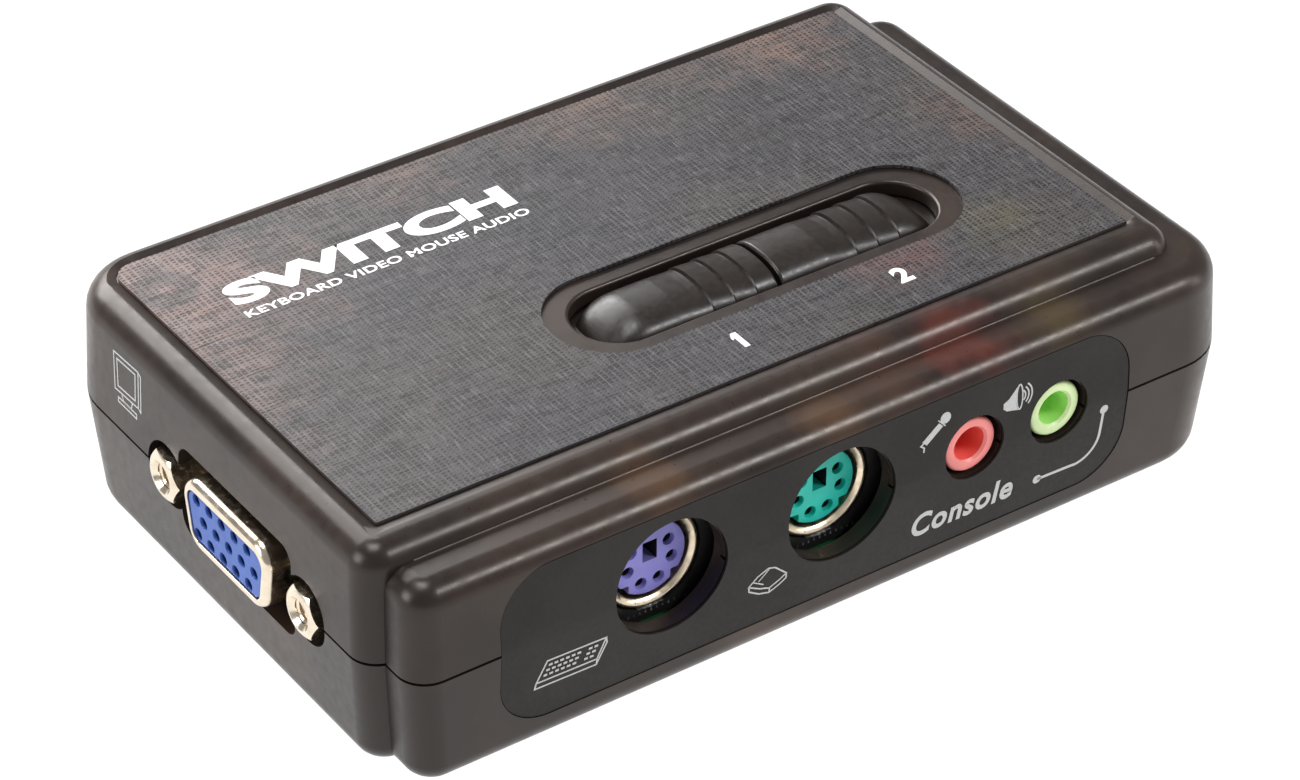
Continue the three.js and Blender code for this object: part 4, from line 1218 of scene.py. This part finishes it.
# %% Print helpers
def ribbon(points, width, closed=False):
    flat = [Vector(p) for p in points]
    count = len(flat)
    left, right = [], []
    for i, point in enumerate(flat):
        before = flat[i - 1] if closed or i else point
        after = flat[(i + 1) % count] if closed or i < count - 1 else point
        a = (point - before).normalized() if point != before else (after - point).normalized()
        b = (after - point).normalized() if point != after else a
        bend = (a + b).normalized()
        side = Vector((-bend.y, bend.x))
        reach = width / 2 / max(side.dot(Vector((-a.y, a.x))), 0.5)
        left.append(tuple(point + side * reach))
        right.append(tuple(point - side * reach))
    faces = [(i, (i + 1) % count, count + (i + 1) % count, count + i)
             for i in range(count if closed else count - 1)]
    return [tuple(p) for p in left + right], faces


def oval(x, y, wide, tall, steps=24):
    angles = [2 * math.pi * i / steps for i in range(steps)]
    return [(x + wide * math.cos(a), y + tall * math.sin(a)) for a in angles]


def spot(x, y, radius):
    return oval(x, y, radius, radius), [tuple(range(24))]


def gathered(shapes):
    points, faces = [], []
    for shape_points, shape_faces in shapes:
        faces += [tuple(len(points) + i for i in face) for face in shape_faces]
        points += shape_points
    return points, faces


def words(text, x, y, width, height, weight=0.0, slant=0.0, spacing=1.0):
    curve = bpy.data.curves.new("words", "FONT")
    curve.body = text
    curve.size = 1
    curve.shear = slant
    curve.offset = weight
    curve.space_character = spacing
    holder = bpy.data.objects.new("words", curve)
    bpy.context.scene.collection.objects.link(holder)
    mesh = bpy.data.meshes.new_from_object(holder.evaluated_get(bpy.context.evaluated_depsgraph_get()))
    bpy.data.objects.remove(holder)
    xs = [v.co.x for v in mesh.vertices]
    ys = [v.co.y for v in mesh.vertices]
    wide, tall = max(xs) - min(xs), max(ys) - min(ys)
    points = [(x + (v.co.x - min(xs)) / wide * width, y + (v.co.y - min(ys)) / tall * height)
              for v in mesh.vertices]
    faces = [tuple(face.vertices) for face in mesh.polygons]
    return points, faces


def printed(name, shape, surface, material, slot_name):
    piece = make(name, shape, lambda point: surface(*point, 0.02))
    outward = surface(0, 0, 1) - surface(0, 0, 0)
    if sum(face.normal.dot(outward) * face.area for face in piece.data.polygons) < 0:
        piece.data.flip_normals()
    thick = piece.modifiers.new("thickness", "SOLIDIFY")
    thick.thickness = 0.03 * MM
    thick.offset = -1
    return finish_piece(settle(piece), material, slot_name)


def on_film(x, y, lift):
    return from_corner((x, y, FILM_TOP + lift))


def on_front(x, z, lift):
    return from_corner((x, front_y(z, LABEL_SKIN) - lift, z))


def on_left(y, z, lift):
    return from_corner((UPPER_LEAN * max(z, 0) - lift, y, z))


print("print helpers ready")

# %% Print on the film
printed("top_words", gathered([
    words("SWITCH", 11.4, 45.65, 31.8, 3.85, weight=0.05),
    words("KEYBOARD VIDEO MOUSE AUDIO", 11.4, 43.5, 31.9, 1.15, weight=0.02, spacing=1.05),
]), on_film, white_ink, "overlay")
printed("key_numbers", gathered([
    ([(46.9, 15.05), (47.25, 15.75), (47.85, 15.75), (47.85, 13.2), (47.25, 13.2), (47.25, 15.0),
      (46.95, 14.7)], [(0, 6, 5, 1), (1, 5, 4, 3, 2)]),
    words("2", 65.75, 13.3, 1.7, 2.55, weight=0.04),
]), on_film, white_ink, "overlay")
print("top print made")

# %% [markdown]
# ## Symbols on the front and the side
# The symbols are line drawings: a keyboard and a mouse seen at a slant, a microphone, a loudspeaker with
# its waves, a bracket that ties both jacks to the word below them, and a monitor on the left side.

# %% Print the symbols
def bow(x, y, radius, start, end, steps=14):
    angles = [math.radians(start + (end - start) * i / steps) for i in range(steps + 1)]
    return [(x + radius * math.cos(a), y + radius * math.sin(a)) for a in angles]


def keyboard_symbol():
    line = 0.17
    top = [(16.25, -2.95), (22.7, -3.15), (21.75, -5.35), (15.1, -5.2)]
    side = [(15.1, -5.2), (14.95, -5.85), (21.7, -6.0), (22.8, -3.75), (22.7, -3.15)]
    shapes = [ribbon(top, line, True), ribbon(side, line), ribbon([(21.75, -5.35), (21.7, -6.0)], line)]
    for row in range(3):
        for column in range(9):
            if column == 6:
                continue
            u, v = (column + 1) / 10.4, (row + 1) / 4.2
            x = 16.25 + 6.45 * u - (1.15 - 0.2 * u) * v
            z = -2.95 - 0.2 * u - (2.25 - 0.05 * u) * v
            shapes.append(ribbon([(x - 0.2, z), (x + 0.2, z - 0.01)], 0.24))
    return gathered(shapes)


def mouse_symbol():
    line = 0.16
    body = [(38.75, -4.6), (39.7, -3.75), (40.9, -3.2), (41.7, -3.45), (43.1, -4.75), (42.3, -5.25),
            (41.2, -5.75), (40.1, -5.35)]
    edge = [(38.75, -4.6), (38.85, -5.2), (40.0, -5.95), (41.2, -6.3), (42.3, -5.85), (43.1, -5.35),
            (43.1, -4.75)]
    return gathered([ribbon(body, line, True), ribbon(edge, line),
                     ribbon([(41.2, -5.75), (41.2, -6.3)], line),
                     ribbon([(41.0, -3.3), (39.85, -4.35)], line * 0.8),
                     ribbon([(39.2, -4.2), (40.5, -5.0)], line * 0.8)])


def microphone_symbol():
    handle = [(60.45, 5.45), (60.95, 4.95), (59.05, 3.5), (58.5, 4.0)]
    lead = [(58.7, 3.85), (58.35, 3.65), (58.75, 3.3), (58.7, 2.8)]
    return gathered([spot(61.25, 5.75, 0.62), ribbon([(60.35, 5.8), (61.2, 4.9)], 0.12),
                     (handle, [(0, 3, 2, 1)]), ribbon(lead, 0.17)])


def speaker_symbol():
    horn = [(68.2, 4.5), (68.2, 3.9), (68.6, 3.55), (70.0, 3.2), (69.75, 4.2), (69.7, 5.0), (69.85, 5.85),
            (68.9, 4.85)]
    shapes = [(horn, [tuple(range(8))]), ribbon(oval(70.15, 4.6, 0.36, 1.4), 0.16, True)]
    shapes += [ribbon(bow(70.1, 4.6, radius, -46, 50), 0.17) for radius in (0.75, 1.15, 1.55)]
    return gathered(shapes)


def bracket_symbol():
    curve = [(73.2, -6.62), (77.6, -6.75)] + bow(77.7, -3.85, 2.95, -88, -4, 12) + [(80.8, -1.2)]
    return gathered([ribbon(curve, 0.32), spot(73.2, -6.62, 0.5), spot(80.82, -1.15, 0.5)])


def monitor_symbol():
    line = 0.17
    return gathered([
        ribbon([(50.3, 8.6), (45.6, 8.8), (45.7, 4.6), (50.2, 4.4)], line, True),
        ribbon([(49.7, 8.05), (46.2, 8.2), (46.3, 5.15), (49.6, 5.0)], line, True),
        ribbon([(45.6, 8.8), (45.15, 8.5), (45.25, 4.35), (45.7, 4.6)], line),
        ribbon([(48.9, 4.35), (48.6, 3.75), (47.1, 3.75), (46.9, 4.45)], line),
        ribbon([(49.6, 3.7), (46.1, 3.7), (46.1, 3.2), (49.6, 3.2)], line, True),
    ])


for draw in (keyboard_symbol, mouse_symbol, microphone_symbol, speaker_symbol, bracket_symbol):
    printed(draw.__name__, draw(), on_front, grey_ink, "label")
printed("monitor_symbol", monitor_symbol(), on_left, grey_ink, "smoked_case")
printed("console_word", words("Console", 57.95, -7.35, 12.2, 2.75, weight=0.028, slant=0.16, spacing=1.1),
        on_front, grey_ink, "label")
print("symbols printed")

# %% [markdown]
# ## Floor and light
# The object stands on a plain pale floor in a white room, as in a light tent. The white surroundings
# do most of the lighting and give the satin plastic its broad reflections. Soft lights then shape it:
# one above, a large one behind that runs along the top, one on the left side, a small one on the right
# for the rounded corner, and one in front that draws the bright lines on the front edges.

# %% Floor and world
def floor_material():
    recipe = Recipe("pale_floor", (0.06, 0.06, 0.06), 0.9)
    recipe.uneven_gloss(30.0, 2.0, 0.85, 0.95)
    recipe.shader.inputs["Emission Color"].default_value = (1, 1, 1, 1)
    recipe.shader.inputs["Emission Strength"].default_value = 1.02
    return recipe.material


floor = make("floor", ([(-3, -3, 0), (3, -3, 0), (3, 3, 0), (-3, 3, 0)], [(0, 1, 2, 3)]),
             lambda point: Vector((point[0], point[1], -0.00005)))
floor.data.materials.append(floor_material())
floor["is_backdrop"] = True
world = bpy.data.worlds.new("white_room")
bpy.context.scene.world = world
world.use_nodes = True
world.node_tree.nodes["Background"].inputs["Color"].default_value = (1.0, 1.0, 1.0, 1)
world.node_tree.nodes["Background"].inputs["Strength"].default_value = 0.30
bpy.context.scene.view_settings.view_transform = "Standard"
print("floor and world set")

# %% Soft lights
def soft_light(name, location, size, power):
    data = bpy.data.lights.new(name, "AREA")
    data.shape = "RECTANGLE"
    data.size, data.size_y = size
    data.energy = power
    lamp = bpy.data.objects.new(name, data)
    bpy.context.scene.collection.objects.link(lamp)
    lamp.location = location
    lamp.rotation_mode = "QUATERNION"
    lamp.rotation_quaternion = (lamp.location - Vector((0, 0, 0.015))).to_track_quat("Z", "Y")


soft_light("top_light", (-0.10, 0.05, 0.80), (0.35, 0.30), 3.2)
soft_light("back_light", (0.02, 0.75, 0.50), (0.7, 0.45), 9.0)
soft_light("left_light", (-0.80, 0.15, 0.35), (0.4, 0.4), 3.5)
soft_light("right_light", (0.60, -0.35, 0.25), (0.12, 0.35), 0.8)
soft_light("front_light", (0.37, -0.46, 0.54), (0.22, 0.12), 2.6)
print("lights set")

# %% [markdown]
# ## Last checks
# The visible model has to keep the size of the solids, so the last line prints how far the shown box
# grows beyond the solids' box.

# %% Print the sizes and finish
shown_low, shown_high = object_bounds()
growth = [*(shown_low - solid_low), *(shown_high - solid_high)]
print("shown box grows by, in mm:", [round(1000 * v, 2) for v in growth])
